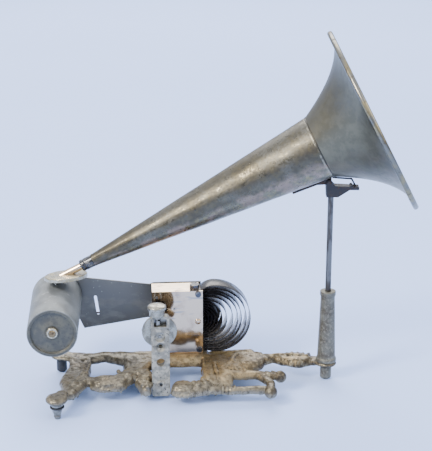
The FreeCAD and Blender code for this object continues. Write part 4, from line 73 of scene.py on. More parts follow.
# Places and sizes shared with the frame, in millimetres
COLUMN = Vector((93.56, 2.36, 0))
PLATE_LEFT = -59.74
PLATE_WIDTH = 44.7
PLATE_THICK = 1.5
PLATE_TOP = 79.8
PLATE_FRONT = 18.46
BACK_PLATE_FRONT = 48.36
MOTOR_SEAT = 20.0
LUGS = ((-58.24, -49.24), (-22.74, -15.04))  # left and right sides of each pair
ARBOR = Vector((-19.34, PLATE_FRONT, 50.8))
ARBOR_RADIUS = 3.9
SPRING_FRONT = PLATE_FRONT + 3.5
MANDREL = Vector((-144.44, -38.14, 67.2))
DRIVE = Vector((-46.93, 53.86, 49.62))
BIG_PULLEY = 18.0
SMALL_PULLEY = 5.5
GREAT_ROOT = 21.4
FRONT_FOOT = Vector((-141.44, -59.64, 0))
KNOB = Vector((-56.64, -27.84, 76.9))
PILLAR_SCREW = Vector((-53.94, -30.64, 14.4))
SEAM = Vector((83.09, 3.09, 213))
HORN_YAW = 4.0
HORN_PITCH = 27.6
HORN_TURN = (Matrix.Translation(SEAM) @ Matrix.Rotation(math.radians(-HORN_YAW), 4, "Z")
             @ Matrix.Rotation(math.radians(90 - HORN_PITCH), 4, "Y"))
BACKWARDS = Matrix.Rotation(math.radians(-90), 4, "X")

# The camera that was fitted to the photograph, in millimetres
CAMERA = Vector((-75.0, -1005.8, 483.9))
CAMERA_AIM = Vector((2.56, 102.86, 112.0))
CAMERA_LENS = 99.8

# Lamps: name, place and size in metres, colour
WARM_LIGHT = (1.0, 0.94, 0.84)
WHITE_LIGHT = (1, 1, 1)
LAMPS = (("Key", (-1.05, -0.68, 1.08), 0.5, WARM_LIGHT), ("Fill", (1.3, -0.9, 1.4), 1.3, WHITE_LIGHT),
         ("Rear", (0.0, 2.2, 2.1), 2.5, WHITE_LIGHT))
LIGHT_AIM = Vector((0, 0, 0.12))

# Skin of the casting, in millimetres, and what its noise adds: height, then waves per metre
VOXEL = 0.62
SWELLS = ((0.55, 120), (0.22, 330), (0.06, 900))

# The casting's lobes: left of the column, behind it and radius, for both ends, then underside and top
LOBES = (
    (235.5, 31, 9, 229, 28, 8, 13, 17),
    (229, 28, 7.5, 218, 24, 10, 13, 17),
    (218, 24, 10, 218, 5, 10, 11, 17),
    (218, 5, 10, 222, -22, 13, 10, 17.5),
    (222, -22, 12.5, 226, -44, 6.5, 9, 17),
    (226, -44, 6, 231.5, -50, 6, 10, 16.5),
    (231.5, -50, 5.5, 235, -60, 7, 14.75, 18),
    (235, -62, 9.5, 235, -61, 9.5, 14.75, 20),
    (216, 22, 9.5, 197, 26.5, 5.8, 11, 18),
    (197, 26.5, 5.8, 178, 21, 11, 11, 18),
    (178, 21, 11, 150, 18, 15, 11, 18),
    (214, -20, 5.5, 200, -24, 7.5, 10, 16.5),
    (198, -27, 10, 187, -27, 10.5, 9, 18),
    (186, -26, 9, 171, -8, 9, 9, 17.5),
    (171, -8, 9, 165, 14, 15, 10, 18),
    (168, -6, 8, 160, -18, 7.5, 8, 17.5),
    (163, -22, 7, 160.5, -38, 4.6, 7, 15),
    (129.5, -39, 10.2, 128, -39, 10.2, 7.5, 17.5),
    (126, -38, 7, 108, -37, 5, 9, 16.5),
    (104, 8, 6.5, 106, -27, 5.5, 9, 18.5),
    (93, 10, 8, 92, -26, 7.2, 9.5, 19),
    (106, -30, 5, 90, -30, 5, 8, 15.5),
    (92, -20, 5, 62, -21.5, 4.4, 11.5, 18),
    (62, -21.5, 4.4, 44, -25, 4.6, 11.5, 17.5),
    (61, -23, 4.2, 53, -37, 3.6, 11, 17),
    (108, -40, 4.4, 88, -44, 4, 8.5, 14.5),
    (88, -44, 4, 56, -44, 3.6, 8.5, 14.5),
    (53, -37, 3.6, 55, -50, 4, 9.5, 16),
    (92, 7, 14.5, 70, 6.5, 16.5, 10.5, 19.3),
    (70, 8.5, 11, 46, 12.6, 3.5, 10.5, 18.5),
    (46, 12.6, 3.5, 31, 10, 10, 10.5, 18.5),
    (31, 10, 10, 24, 8.5, 11.5, 10.5, 18.5),
    (24, 8.5, 11, 10.5, 6.5, 5.5, 10.5, 17),
    (10.5, 6.5, 5.5, 0, 0, 9.5, 13, 17),
    (110, 15, 6.5, 96, 14, 8, 11, 19.6),
    (100, 20, 4, 66, 21, 4, 11, 19.8),
    (128, -42, 7, 112, -41.5, 5, 7.5, 15.5),
    (110.5, -25, 3.6, 105, -18, 4.5, 9, 16.5),
    (109, -8, 3.4, 104, -2, 5, 10, 17),
)
# Knops of the ornament: left of the column, behind it, above the floor and radius
KNOPS = ((44, -25, 14, 5.6), (55, -52, 13, 6))
# Lobes whose lower front edges are chipped
FRONT_LOBES = (4, 5, 11, 12, 13, 14, 15, 16, 17, 18, 21, 22, 23, 25, 26, 36)

# Raised lines of the ornament: radius, then places left of the column, behind it and above the floor
RIDGES = (
    (2.2, (231, 27, 15.5), (222, 18, 16.5), (215, 4, 17), (215, -10, 16.8), (220, -24, 17), (226, -40, 16),
     (230, -52, 15)),
    (1.7, (211, 20, 16.5), (209, 6, 16.6), (211, -8, 16.6), (215, -18, 16.6)),
    (1.8, (214, 25, 16.8), (197, 28, 17.2), (180, 27, 17.4), (165, 24, 17.6)),
    (2.0, (205, 22, 14), (190, 20, 14.5), (178, 12, 14.5)),
    (1.6, (178, 14, 17.8), (172, 4, 17.6), (171, -8, 17.2), (178, -19, 16.8)),
    (4.5, (101, 6, 14.5), (86, 7, 15.4), (70, 8, 15.2), (54, 11.5, 14.6)),
    (1.5, (98, -4, 17.6), (84, -6, 18), (70, -6, 17.8), (58, 1, 17.4)),
    (1.3, (97, 18, 18.6), (84, 19, 18.9), (70, 19.5, 18.9), (56, 17, 18.2)),
    (1.5, (46, 12.6, 17.8), (31, 10.5, 19.2), (20, 8.6, 18.2), (12, 6.8, 16.6)),
    (1.2, (60, -23, 16.5), (56, -30, 16), (53, -38, 15.5), (55, -48, 14)),
    (1.3, (90, -18, 17.2), (76, -19, 17.3), (62, -20, 17.2), (48, -23.5, 17)),
    (1.6, (108, 10, 17.8), (109, -4, 17.4), (109, -18, 17), (108, -28, 15.5)),
    (1.4, (100, 8, 18), (100, -6, 18.2), (99, -18, 18), (98, -26, 16.8)),
)
# Patches of rockwork: left of the column, behind it, and how far they reach to either side and in depth
ROCKWORK = ((178, -16, 9, 9), (168, -8, 9, 8), (162, -20, 6, 10), (160, -34, 4, 6), (166, 8, 12, 8),
            (120, -39, 8, 4), (112, -37, 6, 4))


# Small helpers

def linear(code):
    """An sRGB hex colour as linear RGBA."""
    channels = [int(code[i:i + 2], 16) / 255 for i in (1, 3, 5)]
    return tuple(c / 12.92 if c <= 0.04045 else ((c + 0.055) / 1.055) ** 2.4 for c in channels) + (1.0,)


def from_column(left, behind, height):
    """A place on the casting, from its distances left of and behind the horn column."""
    return Vector((COLUMN.x - left, COLUMN.y + behind, height))


def add_node(tree, kind, fields=None, inputs=None):
    """Add one node, set its fields, and fill or link its inputs."""
    node = tree.nodes.new(kind)
    for name, value in (fields or {}).items():
        setattr(node, name, value)
    for name, value in (inputs or {}).items():
        if isinstance(value, bpy.types.NodeSocket):
            tree.links.new(value, node.inputs[name])
        else:
            node.inputs[name].default_value = value
    return node

class Finish:
    """A material under construction: its tree, its shader and the object's own coordinates."""

    def __init__(self, name, metallic=0.0, roughness=0.5, **sockets):
        self.material = bpy.data.materials.new(name)
        self.material.use_nodes = True
        self.tree = self.material.node_tree
        self.tree.nodes.clear()
        inputs = {"Metallic": metallic, "Roughness": roughness}
        inputs.update({name.replace("_", " "): value for name, value in sockets.items()})
        self.shader = add_node(self.tree, "ShaderNodeBsdfPrincipled", None, inputs)
        add_node(self.tree, "ShaderNodeOutputMaterial", None, {"Surface": self.shader.outputs[0]})
        self.coords = add_node(self.tree, "ShaderNodeTexCoord").outputs["Object"]

    def flecks(self, size, low, high, detail=4, stretch=(1, 1, 1), rough=0.55, coords=None):
        """A factor from 0 to 1 in soft flecks of that size in millimetres."""
        place = add_node(self.tree, "ShaderNodeMapping", None,
                         {"Vector": coords or self.coords, "Scale": stretch}).outputs[0]
        cloud = add_node(self.tree, "ShaderNodeTexNoise", None,
                         {"Vector": place, "Scale": 1000 / size, "Detail": detail, "Roughness": rough})
        return self.between(cloud.outputs[0], low, high)

    def between(self, value, low, high, to_low=0.0, to_high=1.0):
        """A value eased from one range into another."""
        return add_node(self.tree, "ShaderNodeMapRange", {"interpolation_type": "SMOOTHSTEP"},
                        {"Value": value, "From Min": low, "From Max": high, "To Min": to_low,
                         "To Max": to_high}).outputs[0]

    def both(self, *factors, way="MULTIPLY"):
        """Factors worked together, one after the other."""
        result = factors[0]
        for factor in factors[1:]:
            result = add_node(self.tree, "ShaderNodeMath", {"operation": way, "use_clamp": way != "ADD"},
                              {0: result, 1: factor}).outputs[0]
        return result

    def from_arbor(self):
        """Distance from the axis of the spring arbor."""
        flat = add_node(self.tree, "ShaderNodeVectorMath", {"operation": "MULTIPLY"},
                        {0: self.coords, 1: (1, 0, 1)}).outputs[0]
        return add_node(self.tree, "ShaderNodeVectorMath", {"operation": "DISTANCE"},
                        {0: flat, 1: Vector((ARBOR.x, 0, ARBOR.z)) * MM}).outputs["Value"]

    def colours(self, base, *layers):
        """Colours laid over a base, each through the product of its factors."""
        colour = linear(base)
        for code, *factors in layers:
            colour = add_node(self.tree, "ShaderNodeMix", {"data_type": "RGBA"},
                              {0: self.both(*factors), 6: colour, 7: linear(code)}).outputs[2]
        self.tree.links.new(colour, self.shader.inputs["Base Color"])
        return self

    def gloss(self, factor, rough_low, rough_high):
        """Roughness that follows a factor."""
        rough = self.between(factor, 0, 1, rough_low, rough_high)
        self.tree.links.new(rough, self.shader.inputs["Roughness"])
        return self

    def relief(self, *heights):
        """Surface relief from factors, each with its height in millimetres, negative for pits."""
        normal = None
        for factor, depth in heights:
            inputs = {"Height": factor, "Distance": abs(depth) * MM, "Strength": 1.0}
            if normal:
                inputs["Normal"] = normal
            normal = add_node(self.tree, "ShaderNodeBump", {"invert": depth < 0}, inputs).outputs[0]
        self.tree.links.new(normal, self.shader.inputs["Normal"])
        return self


def mesh_from(bm, name):
    """A mesh from a bmesh, which is then freed."""
    mesh = bpy.data.meshes.new(name)
    bm.to_mesh(mesh)
    bm.free()
    return mesh


def linked(name, data):
    """A new object, linked into the scene."""
    thing = bpy.data.objects.new(name, data)
    bpy.context.scene.collection.objects.link(thing)
    return thing


def new_piece(name, bm, finish, body, turn, slot, replaces=(), smooth=35):
    """An object from a bmesh drawn in millimetres, riding on a body."""
    bmesh.ops.transform(bm, matrix=Matrix.Scale(MM, 4) @ turn, verts=bm.verts)
    return dress(name, mesh_from(bm, name), finish, body, replaces, smooth)


def dress(name, mesh, finish, body, replaces, smooth=35):
    """Finish a mesh that already lies in place and make it a piece."""
    mesh.shade_smooth()
    mesh.set_sharp_from_angle(angle=math.radians(smooth))
    mesh.materials.append(bpy.data.materials[finish])
    piece = linked(name, mesh)
    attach(piece, body)
    if replaces:
        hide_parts(*replaces)
    return piece


def welded(bm, gap):
    """Join what lies closer than a gap in millimetres, and turn all faces outwards."""
    bmesh.ops.remove_doubles(bm, verts=bm.verts, dist=gap)
    bmesh.ops.recalc_face_normals(bm, faces=bm.faces)


def turned(profile, steps, closed=True):
    """A surface turned about Z from places given as radius and station."""
    bm = bmesh.new()
    verts = [bm.verts.new((radius, 0, station)) for radius, station in profile]
    pairs = list(zip(verts, verts[1:])) + ([(verts[-1], verts[0])] if closed else [])
    edges = [bm.edges.new(pair) for pair in pairs]
    bmesh.ops.spin(bm, geom=verts + edges, cent=(0, 0, 0), axis=(0, 0, 1), angle=math.tau, steps=steps,
                   use_merge=True, use_duplicate=False)
    welded(bm, 1e-4)
    return bm


def mark_faces(bm, where):
    """Set aside for a second finish the faces whose middle a rule picks, by its radius and station."""
    for face in bm.faces:
        middle = face.calc_center_median()
        face.material_index = int(where(math.hypot(middle.x, middle.y), middle.z))


def only(kind, geom):
    """The items of one kind in what a bmesh operator gives back."""
    return [item for item in geom if isinstance(item, kind)]


def drawn_on(bm, tail, move):
    """Draw the edges at the end of a sweep straight on, and give the new end."""
    drawn = bmesh.ops.extrude_edge_only(bm, edges=only(bmesh.types.BMEdge, tail))["geom"]
    verts = only(bmesh.types.BMVert, drawn)
    bmesh.ops.translate(bm, vec=move, verts=verts)
    return verts + only(bmesh.types.BMEdge, drawn)


def bent_on(bm, tail, x, z, degrees, steps):
    """Bend the end of a sweep on about an axis along Y, and give the new end."""
    return bmesh.ops.spin(bm, geom=tail, cent=(x, 0, z), axis=(0, -1, 0), angle=math.radians(degrees),
                          steps=steps, use_merge=False, use_duplicate=False)["geom_last"]


def broken_edges(node, finish, slot, edge):
    """A welded copy of a frame node with its sharp edges broken, standing for the node."""
    source, name = frame["nodes"][node], node + "_dressed"
    bm = bmesh.new()
    bm.from_mesh(source.data)
    bmesh.ops.remove_doubles(bm, verts=bm.verts, dist=2e-6)
    bmesh.ops.dissolve_limit(bm, angle_limit=math.radians(0.5), verts=bm.verts, edges=bm.edges)
    piece = dress(name, mesh_from(bm, name), finish, source["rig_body"], (node,))
    if edge:
        bevel = piece.modifiers.new("Broken edges", "BEVEL")
        bevel.width = edge * MM
        bevel.segments = 2
        bevel.limit_method = "ANGLE"
        bevel.angle_limit = math.radians(40)
        bevel.use_clamp_overlap = True


# Solids for the casting

def ball_points():
    """Corners of a unit ball."""
    bm = bmesh.new()
    bmesh.ops.create_icosphere(bm, subdivisions=2, radius=1)
    points = [vert.co.copy() for vert in bm.verts]
    bm.free()
    return points


BALL = ball_points()


def add_hull(bm, points):
    """A closed solid around points."""
    verts = [bm.verts.new(point) for point in points]
    hull = bmesh.ops.convex_hull(bm, input=verts, use_existing_faces=False)
    spare = set(only(bmesh.types.BMVert, hull["geom_interior"] + hull["geom_unused"]))
    loose = [vert for vert in spare if vert.is_valid and not vert.link_faces]
    bmesh.ops.delete(bm, geom=loose, context="VERTS")


def add_ball(bm, place, radius):
    """A ball round a place."""
    add_hull(bm, [place + radius * point for point in BALL])


def add_ridge(bm, places, radius, end_radius=None):
    """A rounded ridge through places, as a row of rounded rods."""
    end_radius = radius if end_radius is None else end_radius
    count = max(1, len(places) - 1)
    for number, (here, there) in enumerate(zip(places, places[1:])):
        first = radius + (end_radius - radius) * number / count
        last = radius + (end_radius - radius) * (number + 1) / count
        add_hull(bm, [here + first * point for point in BALL] + [there + last * point for point in BALL])


def around(left, behind, reach, angle, height, deep=None):
    """A place on the casting, at an angle on a circle or an oval round another place."""
    return from_column(left + reach * math.cos(angle), behind + (deep or reach) * math.sin(angle), height)


def sideways(degrees):
    """A level direction, counted from the left towards the back."""
    return Vector((-math.cos(math.radians(degrees)), math.sin(math.radians(degrees)), 0))


def add_lobe(bm, left, behind, radius, end_left, end_behind, end_radius, low, top):
    """A lobe of the casting with a crowned top and an eased underside."""
    points = []
    for x, y, size in ((left, behind, radius), (end_left, end_behind, end_radius)):
        crown = min(0.62 * (top - low), 0.75 * size)
        under = min(2.2, 0.35 * size)
        rings = [(low, size - under), (low + 0.4 * under, size - 0.3 * under), (low + under, size)]
        for angle in (0, 30, 55, 75, 90):
            rings.append((top - crown * (1 - math.sin(math.radians(angle))),
                          size - crown * (1 - math.cos(math.radians(angle)))))
        points += [around(x, y, reach, math.tau * step / 20, height)
                   for height, reach in rings for step in range(20)]
    add_hull(bm, points)


def add_block(bm, low, high):
    """A block between two corners."""
    add_hull(bm, [Vector(corner) for corner in itertools.product(*zip(low, high))])


def add_scrollwork(bm):
    """Lines, a volute, a beaded oval and a shell on the left half of the casting."""
    for radius, *line in RIDGES:
        add_ridge(bm, [from_column(*place) for place in line], radius, radius * 0.7)
    for start in range(13):
        add_ridge(bm, [around(220, -26, 9.5 - 0.55 * turn, math.radians(30 * turn), 16.6)
                       for turn in (start, start + 1)], 1.3)
    for start in range(24):
        add_ridge(bm, [around(192.5, -27, 13.5, math.tau * step / 24, 16.4, 8)
                       for step in (start, start + 1)], 1.6)
    for step in range(15):
        angle = math.radians(200 + 140 * step / 14)
        add_ridge(bm, [around(192.5, -27, 15.5, angle, height, 10) for height in (10.6, 12.2)], 1.25)
    hinge, middle, rim = (from_column(128.5, *place) for place in ((-33, 16.5), (-37.5, 15.8), (-38.5, 9.6)))
    for step in range(9):
        side = sideways(195 + 150 * step / 8)
        add_ridge(bm, [hinge, middle + 6.5 * side, rim + 10.2 * side], 1.0, 1.9)


def add_drapery(bm):
    """Folds, hoops, knops, a leaf, a fan and beads on the right half of the casting."""
    for step in range(7):
        left = 107 - 3 * step
        add_ridge(bm, [from_column(left, -25, 17), from_column(left + 0.3, -31, 15.6),
                       from_column(left + 0.6, -34.8, 10.8)], 1.2, 1.0)
    for left in (95.5, 92, 88.5, 85):
        angles = [math.radians(degrees) for degrees in range(-30, 211, 40)]
        add_ridge(bm, [from_column(left, -43.3 + 4.6 * math.cos(a), 11.4 + 3.6 * math.sin(a))
                       for a in angles], 0.9)
    for step in range(8):
        left = 88 - 5.4 * step
        add_ridge(bm, [from_column(left, -17, 15.6), from_column(left - 2, -20.5 - 0.25 * step, 17.6),
                       from_column(left - 1, -24.5 - 0.25 * step, 14.6)], 1.1, 0.8)
    for left, behind, height, radius in KNOPS:
        add_ball(bm, from_column(left, behind, height), radius)
        for start in range(12):
            angles = (math.tau * start / 12, math.tau * (start + 1) / 12)
            add_ridge(bm, [from_column(left + 3.2 * math.cos(a), behind - 3.9, height + 3.2 * math.sin(a))
                           for a in angles], 0.9)
    for step, spread in enumerate((6, 9, 10.5, 10, 8, 6)):
        left = 41 - 5 * step
        spine = from_column(left, 10.5 - 0.7 * step / 1.5, 18.2)
        add_ridge(bm, [spine, from_column(left - 3, 10 + spread * 0.8, 17.4),
                       from_column(left - 4, 10 + spread, 14.5)], 1.3, 0.9)
        add_ridge(bm, [spine, from_column(left - 3, 9 - spread * 0.8, 16.6),
                       from_column(left - 4, 8 - spread, 13.2)], 1.3, 0.9)
    fan = from_column(84, -1, 19.6)
    for step in range(7):
        side = sideways(232 + 13 * step)
        add_ridge(bm, [fan + reach * side - Vector((0, 0, drop))
                       for reach, drop in ((3, 0), (12, 0.6), (18.5, 4.2), (20.5, 7.5))], 1.25, 1.7)
    add_ridge(bm, [fan, from_column(83, 6, 20.4), from_column(78, 14, 20)], 2.1, 1.2)
    for step in range(9):
        add_ball(bm, from_column(110 - 5 * step, 22.5, 18.6), 1.35)


def add_rough_spots(bm):
    """Small chips along the lower front edges and lumps on the rockwork, from fixed seeds."""
    dice = random.Random(23)
    for _ in range(150):
        left, behind, radius, end_left, end_behind, end_radius, low, _ = LOBES[dice.choice(FRONT_LOBES)]
        share, turn = dice.random(), math.radians(dice.uniform(195, 345))
        reach = radius + (end_radius - radius) * share - dice.uniform(0.2, 1.4)
        place = around(left + (end_left - left) * share, behind + (end_behind - behind) * share, reach, turn,
                       low + dice.uniform(-0.6, 2.6))
        size = dice.uniform(0.8, 1.9)
        add_hull(bm, [place + size * Vector((point.x * dice.uniform(0.5, 1.1), point.y * 0.8,
                                             point.z * dice.uniform(0.6, 1.3))) for point in BALL[::3]])
    dice = random.Random(7)
    for left, behind, wide, deep in ROCKWORK:
        for _ in range(10):
            place = from_column(left + dice.uniform(-wide, wide), behind + dice.uniform(-deep, deep),
                                dice.uniform(14, 16.6))
            add_hull(bm, [place + dice.uniform(1.4, 2.9) * point for point in BALL])


def casting_solids():
    """Everything that the casting is fused from."""
    bm = bmesh.new()
    for lobe in LOBES:
        add_lobe(bm, *lobe)
    # The motor's seat, rounded along its front, and the block in front of its left end
    seat, seat_low, seat_round = [], 11, 8
    for x in (PLATE_LEFT, PLATE_LEFT + PLATE_WIDTH + 4):
        for step in range(7):
            angle = math.radians(15 * step)
            seat.append(Vector((x, COLUMN.y + 14 - seat_round * math.cos(angle),
                                MOTOR_SEAT - seat_round + seat_round * math.sin(angle))))
        seat += [Vector((x, COLUMN.y + 34, MOTOR_SEAT)), Vector((x, COLUMN.y + 34, seat_low)),
                 Vector((x, COLUMN.y + 6, seat_low))]
    add_hull(bm, seat)
    add_block(bm, (-60.5, -23.6, seat_low), (-47.4, COLUMN.y + 10, 17.8))
    add_scrollwork(bm)
    add_drapery(bm)
    add_rough_spots(bm)
    return bm


def displaced(mesh):
    """Uneven skin of a sand casting, kept under the motor's seat."""
    count = len(mesh.vertices)
    places, normals = np.empty(count * 3), np.empty(count * 3)
    mesh.vertices.foreach_get("co", places)
    mesh.vertices.foreach_get("normal", normals)
    places, normals = places.reshape(-1, 3), normals.reshape(-1, 3)
    swell = np.array([sum(height * noise.noise(Vector(place) * waves) for height, waves in SWELLS)
                      for place in places])
    places += normals * (swell * MM)[:, None]
    motor = ((places[:, 0] > (PLATE_LEFT - 1) * MM) & (places[:, 0] < (PLATE_LEFT + 49) * MM)
             & (places[:, 1] > (PLATE_FRONT - 2.5) * MM))
    places[motor, 2] = np.minimum(places[motor, 2], (MOTOR_SEAT - 0.05) * MM)
    mesh.vertices.foreach_set("co", places.ravel())
    mesh.update()


def casting_mesh():
    """The solids fused, softened and roughened into one skin."""
    bm = casting_solids()
    bmesh.ops.transform(bm, matrix=Matrix.Scale(MM, 4), verts=bm.verts)
    bmesh.ops.recalc_face_normals(bm, faces=bm.faces)
    blank = linked("casting_blank", mesh_from(bm, "casting_solids"))
    remesh = blank.modifiers.new("Fuse", "REMESH")
    remesh.mode = "VOXEL"
    remesh.voxel_size = VOXEL * MM
    skin = bpy.data.meshes.new_from_object(blank.evaluated_get(bpy.context.evaluated_depsgraph_get()))
    bpy.data.objects.remove(blank)
    bm = bmesh.new()
    bm.from_mesh(skin)
    for _ in range(3):
        bmesh.ops.smooth_vert(bm, verts=bm.verts, factor=0.5, use_axis_x=True, use_axis_y=True,
                              use_axis_z=True)
    bm.to_mesh(skin)
    bm.free()
    skin.name = "casting_skin"
    displaced(skin)
    return skin


# Finishes

# Those made of flecks alone: name; shader values; every set of flecks with its size in millimetres, the range
# of noise that it eases over, its detail and its stretch; the base colour, and each colour over it with its
# flecks and share; flecks that the roughness follows, from where to where; flecks that stand out and how far
# in millimetres, negative for pits
FLECKED = (
    # Wired rim where the plate has worn through to brass, brown in the hollows
    ("Rubbed brass", {"metallic": 1.0}, {"worn": (12, 0.42, 0.6, 5), "brown": (5, 0.55, 0.7, 4)},
     ("#76736A", ("#94865F", "worn", 0.7), ("#514839", "brown", 0.7)), ("brown", 0.28, 0.5), ("brown", 0.04)),
    # Nickel plate, buffed almost to a mirror, with fogged patches and hairline scratches
    ("Polished nickel plate", {"metallic": 1.0},
     {"fog": (16, 0.5, 0.72, 5), "brown": (9, 0.6, 0.72, 5), "hairs": (2.5, 0.6, 0.66, 2, (0.12, 1, 1)),
      "waves": (40, 0.3, 0.7, 1)},
     ("#DCC4A6", ("#BCA38C", "fog"), ("#8E7469", "brown", 0.55), ("#A79F98", "hairs")), ("fog", 0.09, 0.24),
     ("hairs", 0.006), ("waves", 0.12)),
    # Nickel plate yellowed by age, nearly white, with small brown specks
    ("Yellowed nickel plate", {"metallic": 0.75}, {"cream": (6, 0.4, 0.65, 4), "specks": (1.2, 0.63, 0.7, 2)},
     ("#B2AB97", ("#9E9579", "cream"), ("#7A6A4E", "specks", 0.7)), ("cream", 0.24, 0.42), ("specks", -0.03)),
    # Zinc casting with a matt blue-grey oxide, paler bloom in clouds and fine turning lines
    ("Oxidised cast zinc", {"metallic": 0.35},
     {"bloom": (13, 0.42, 0.62, 6), "white": (5, 0.6, 0.7, 6), "dark": (2, 0.62, 0.72, 3),
      "lines": (0.9, 0.35, 0.65, 1, (0.05, 1, 0.05))},
     ("#6C6E6C", ("#7E8180", "bloom"), ("#A0A19E", "white", 0.55), ("#5A5E61", "dark", 0.55)),
     ("bloom", 0.52, 0.72), ("lines", 0.02), ("dark", -0.04)),
    # The same zinc on the recessed end, coloured darker
    ("Oiled cast zinc", {"metallic": 0.4}, {"bloom": (7, 0.42, 0.62, 6), "dark": (1.8, 0.58, 0.7, 3)},
     ("#4C4A42", ("#5E5C51", "bloom"), ("#31302A", "dark", 0.6)), ("bloom", 0.4, 0.62), ("dark", -0.05)),
    # Blackened sheet steel, slate grey, with rubbed grey scuffs and pale specks
    ("Blackened sheet steel", {"metallic": 0.55},
     {"scuffs": (11, 0.5, 0.66, 6, (0.5, 1, 1)), "specks": (2.4, 0.69, 0.74, 3), "warm": (24, 0.52, 0.7, 3),
      "rubs": (8, 0.63, 0.72, 7)},
     ("#62605A", ("#7A7872", "scuffs", 0.8), ("#6A685F", "warm", 0.5), ("#A8A9A7", "rubs", 0.4),
      ("#C9CBC7", "specks", 0.8)), ("scuffs", 0.34, 0.52), ("scuffs", 0.02), ("specks", 0.03)),
    # Turned steel, dull grey with brown tarnish and small pits
    ("Dull turned steel", {"metallic": 0.9}, {"tarnish": (5, 0.45, 0.65, 5), "pits": (0.9, 0.62, 0.7, 2)},
     ("#8F8D86", ("#6F6A60", "tarnish"), ("#403A33", "pits", 0.6)), ("tarnish", 0.3, 0.5), ("pits", -0.02)),
    # Round steel rod, browned and oiled
    ("Browned steel rod", {"metallic": 0.9}, {"tarnish": (7, 0.42, 0.64, 5, (1, 1, 0.3))},
     ("#6E6C69", ("#4D4742", "tarnish")), ("tarnish", 0.32, 0.5), ("tarnish", 0.01)),
    # Black iron fitting with rust bloom
    ("Rusted black iron", {"metallic": 0.5}, {"rust": (3.5, 0.5, 0.66, 6), "grit": (1.2, 0.4, 0.7)},
     ("#35312F", ("#5B4536", "rust", 0.8)), ("rust", 0.42, 0.75), ("rust", 0.05), ("grit", 0.03)),
    # Screws and small steel parts, dark from old bluing, rubbed bright in patches
    ("Worn blued steel", {"metallic": 0.95}, {"rubbed": (2.5, 0.5, 0.66, 4)},
     ("#55565A", ("#8A867D", "rubbed")), ("rubbed", 0.26, 0.42), ("rubbed", 0.01)),
    # Black lacquered rubber sleeve, glossy, rubbed grey in patches
    ("Lacquered black sleeve", {"roughness": 0.2, "Coat_Weight": 0.5}, {"rubbed": (3.5, 0.5, 0.62, 5)},
     ("#1E1C1A", ("#6B6861", "rubbed", 0.8)), ("rubbed", 0.16, 0.42), ("rubbed", 0.04)),
    # Bare sand casting with worn pale paint and dark pits
    ("Speckled grey casting", {"metallic": 0.25},
     {"paint": (4.5, 0.44, 0.58, 6), "pits": (1.5, 0.60, 0.66, 4), "brown": (8, 0.5, 0.66, 5)},
     ("#7C7A70", ("#A5A296", "paint"), ("#6E6656", "brown", 0.45), ("#23211D", "pits", 0.9)),
     ("paint", 0.5, 0.72), ("paint", 0.05), ("pits", -0.12)),
    # Browner casting of the horn's column, speckled all over
    ("Speckled brown-grey casting", {"metallic": 0.3},
     {"pale": (2.2, 0.5, 0.62, 5), "brown": (9, 0.42, 0.62, 5), "pits": (1.0, 0.58, 0.66, 3)},
     ("#656256", ("#544D3E", "brown"), ("#868375", "pale", 0.65), ("#35322B", "pits", 0.7)),
     ("pale", 0.46, 0.66), ("pale", 0.05), ("pits", -0.09)),
    # Black rubber, matt with grey chalking; inside the pillar screw's socket it is painted shade
    ("Moulded black rubber", {"roughness": 0.62}, {"chalk": (3, 0.5, 0.7, 5)},
     ("#242424", ("#45433F", "chalk", 0.6)), ("chalk", 0.48, 0.75), ("chalk", 0.03)),
    # Perished grey-brown rubber rings
    ("Perished rubber", {"roughness": 0.8}, {"crumbs": (0.8, 0.45, 0.65)},
     ("#5A5348", ("#7A7163", "crumbs")), None, ("crumbs", 0.03)),
    # Stamped and cut clock brass with brown lacquer in patches
    ("Cut clock brass", {"metallic": 1.0},
     {"lacquer": (6, 0.45, 0.66, 4), "lines": (0.7, 0.4, 0.6, 4, (0.2, 1, 1))},
     ("#B9975A", ("#8E7040", "lacquer")), ("lacquer", 0.24, 0.42), ("lines", 0.006)),
    # Brass gone brown and dull
    ("Dull worn brass", {"metallic": 0.95}, {"brown": (3, 0.42, 0.62, 5)},
     ("#8C7857", ("#5A4A37", "brown")), ("brown", 0.3, 0.55), ("brown", 0.02)),
    # Turned white metal of the governor, bright with grey streaks
    ("Turned white metal", {"metallic": 0.9}, {"streaks": (4, 0.42, 0.66, 5), "specks": (1.1, 0.62, 0.7, 2)},
     ("#A39E8E", ("#868173", "streaks"), ("#645C4E", "specks", 0.6)), ("streaks", 0.24, 0.44),
     ("streaks", 0.01)),
    # Round leather belting, brown, with fine grain
    ("Round leather belting", {"roughness": 0.6}, {"grain": (0.7, 0.4, 0.65)},
     ("#5B4330", ("#3C2B1E", "grain")), ("grain", 0.5, 0.7), ("grain", 0.04)),
    # Brake leather, felted by use
    ("Brake leather", {"roughness": 0.85}, {"nap": (0.5, 0.4, 0.65)},
     ("#7A5C3F", ("#553D28", "nap")), None, ("nap", 0.05)),
    # Thin clear disc with a faint milky bloom
    ("Thin mica disc", {"roughness": 0.12, "Transmission_Weight": 0.6}, {"bloom": (5, 0.45, 0.7)},
     ("#DEDFDA", ("#C9C6B8", "bloom")), ("bloom", 0.08, 0.25)),
    # Ground glass bead
    ("Ground glass", {"roughness": 0.3, "Transmission_Weight": 0.5}, {"frost": (0.4, 0.4, 0.65)},
     ("#DAD9CE", ("#F0EFE8", "frost")), ("frost", 0.2, 0.4)),
)


def flecked(name, shader, flecks, colours, gloss, *relief):
    """A material made of flecks alone."""
    finish = Finish(name, **shader)
    clouds = {cloud: finish.flecks(*sizes) for cloud, sizes in flecks.items()}
    base, *layers = colours
    finish.colours(base, *[(code, clouds[cloud], *share) for code, cloud, *share in layers])
    if gloss:
        cloud, *roughness = gloss
        finish.gloss(clouds[cloud], *roughness)
    if relief:
        finish.relief(*[(clouds[cloud], height) for cloud, height in relief])


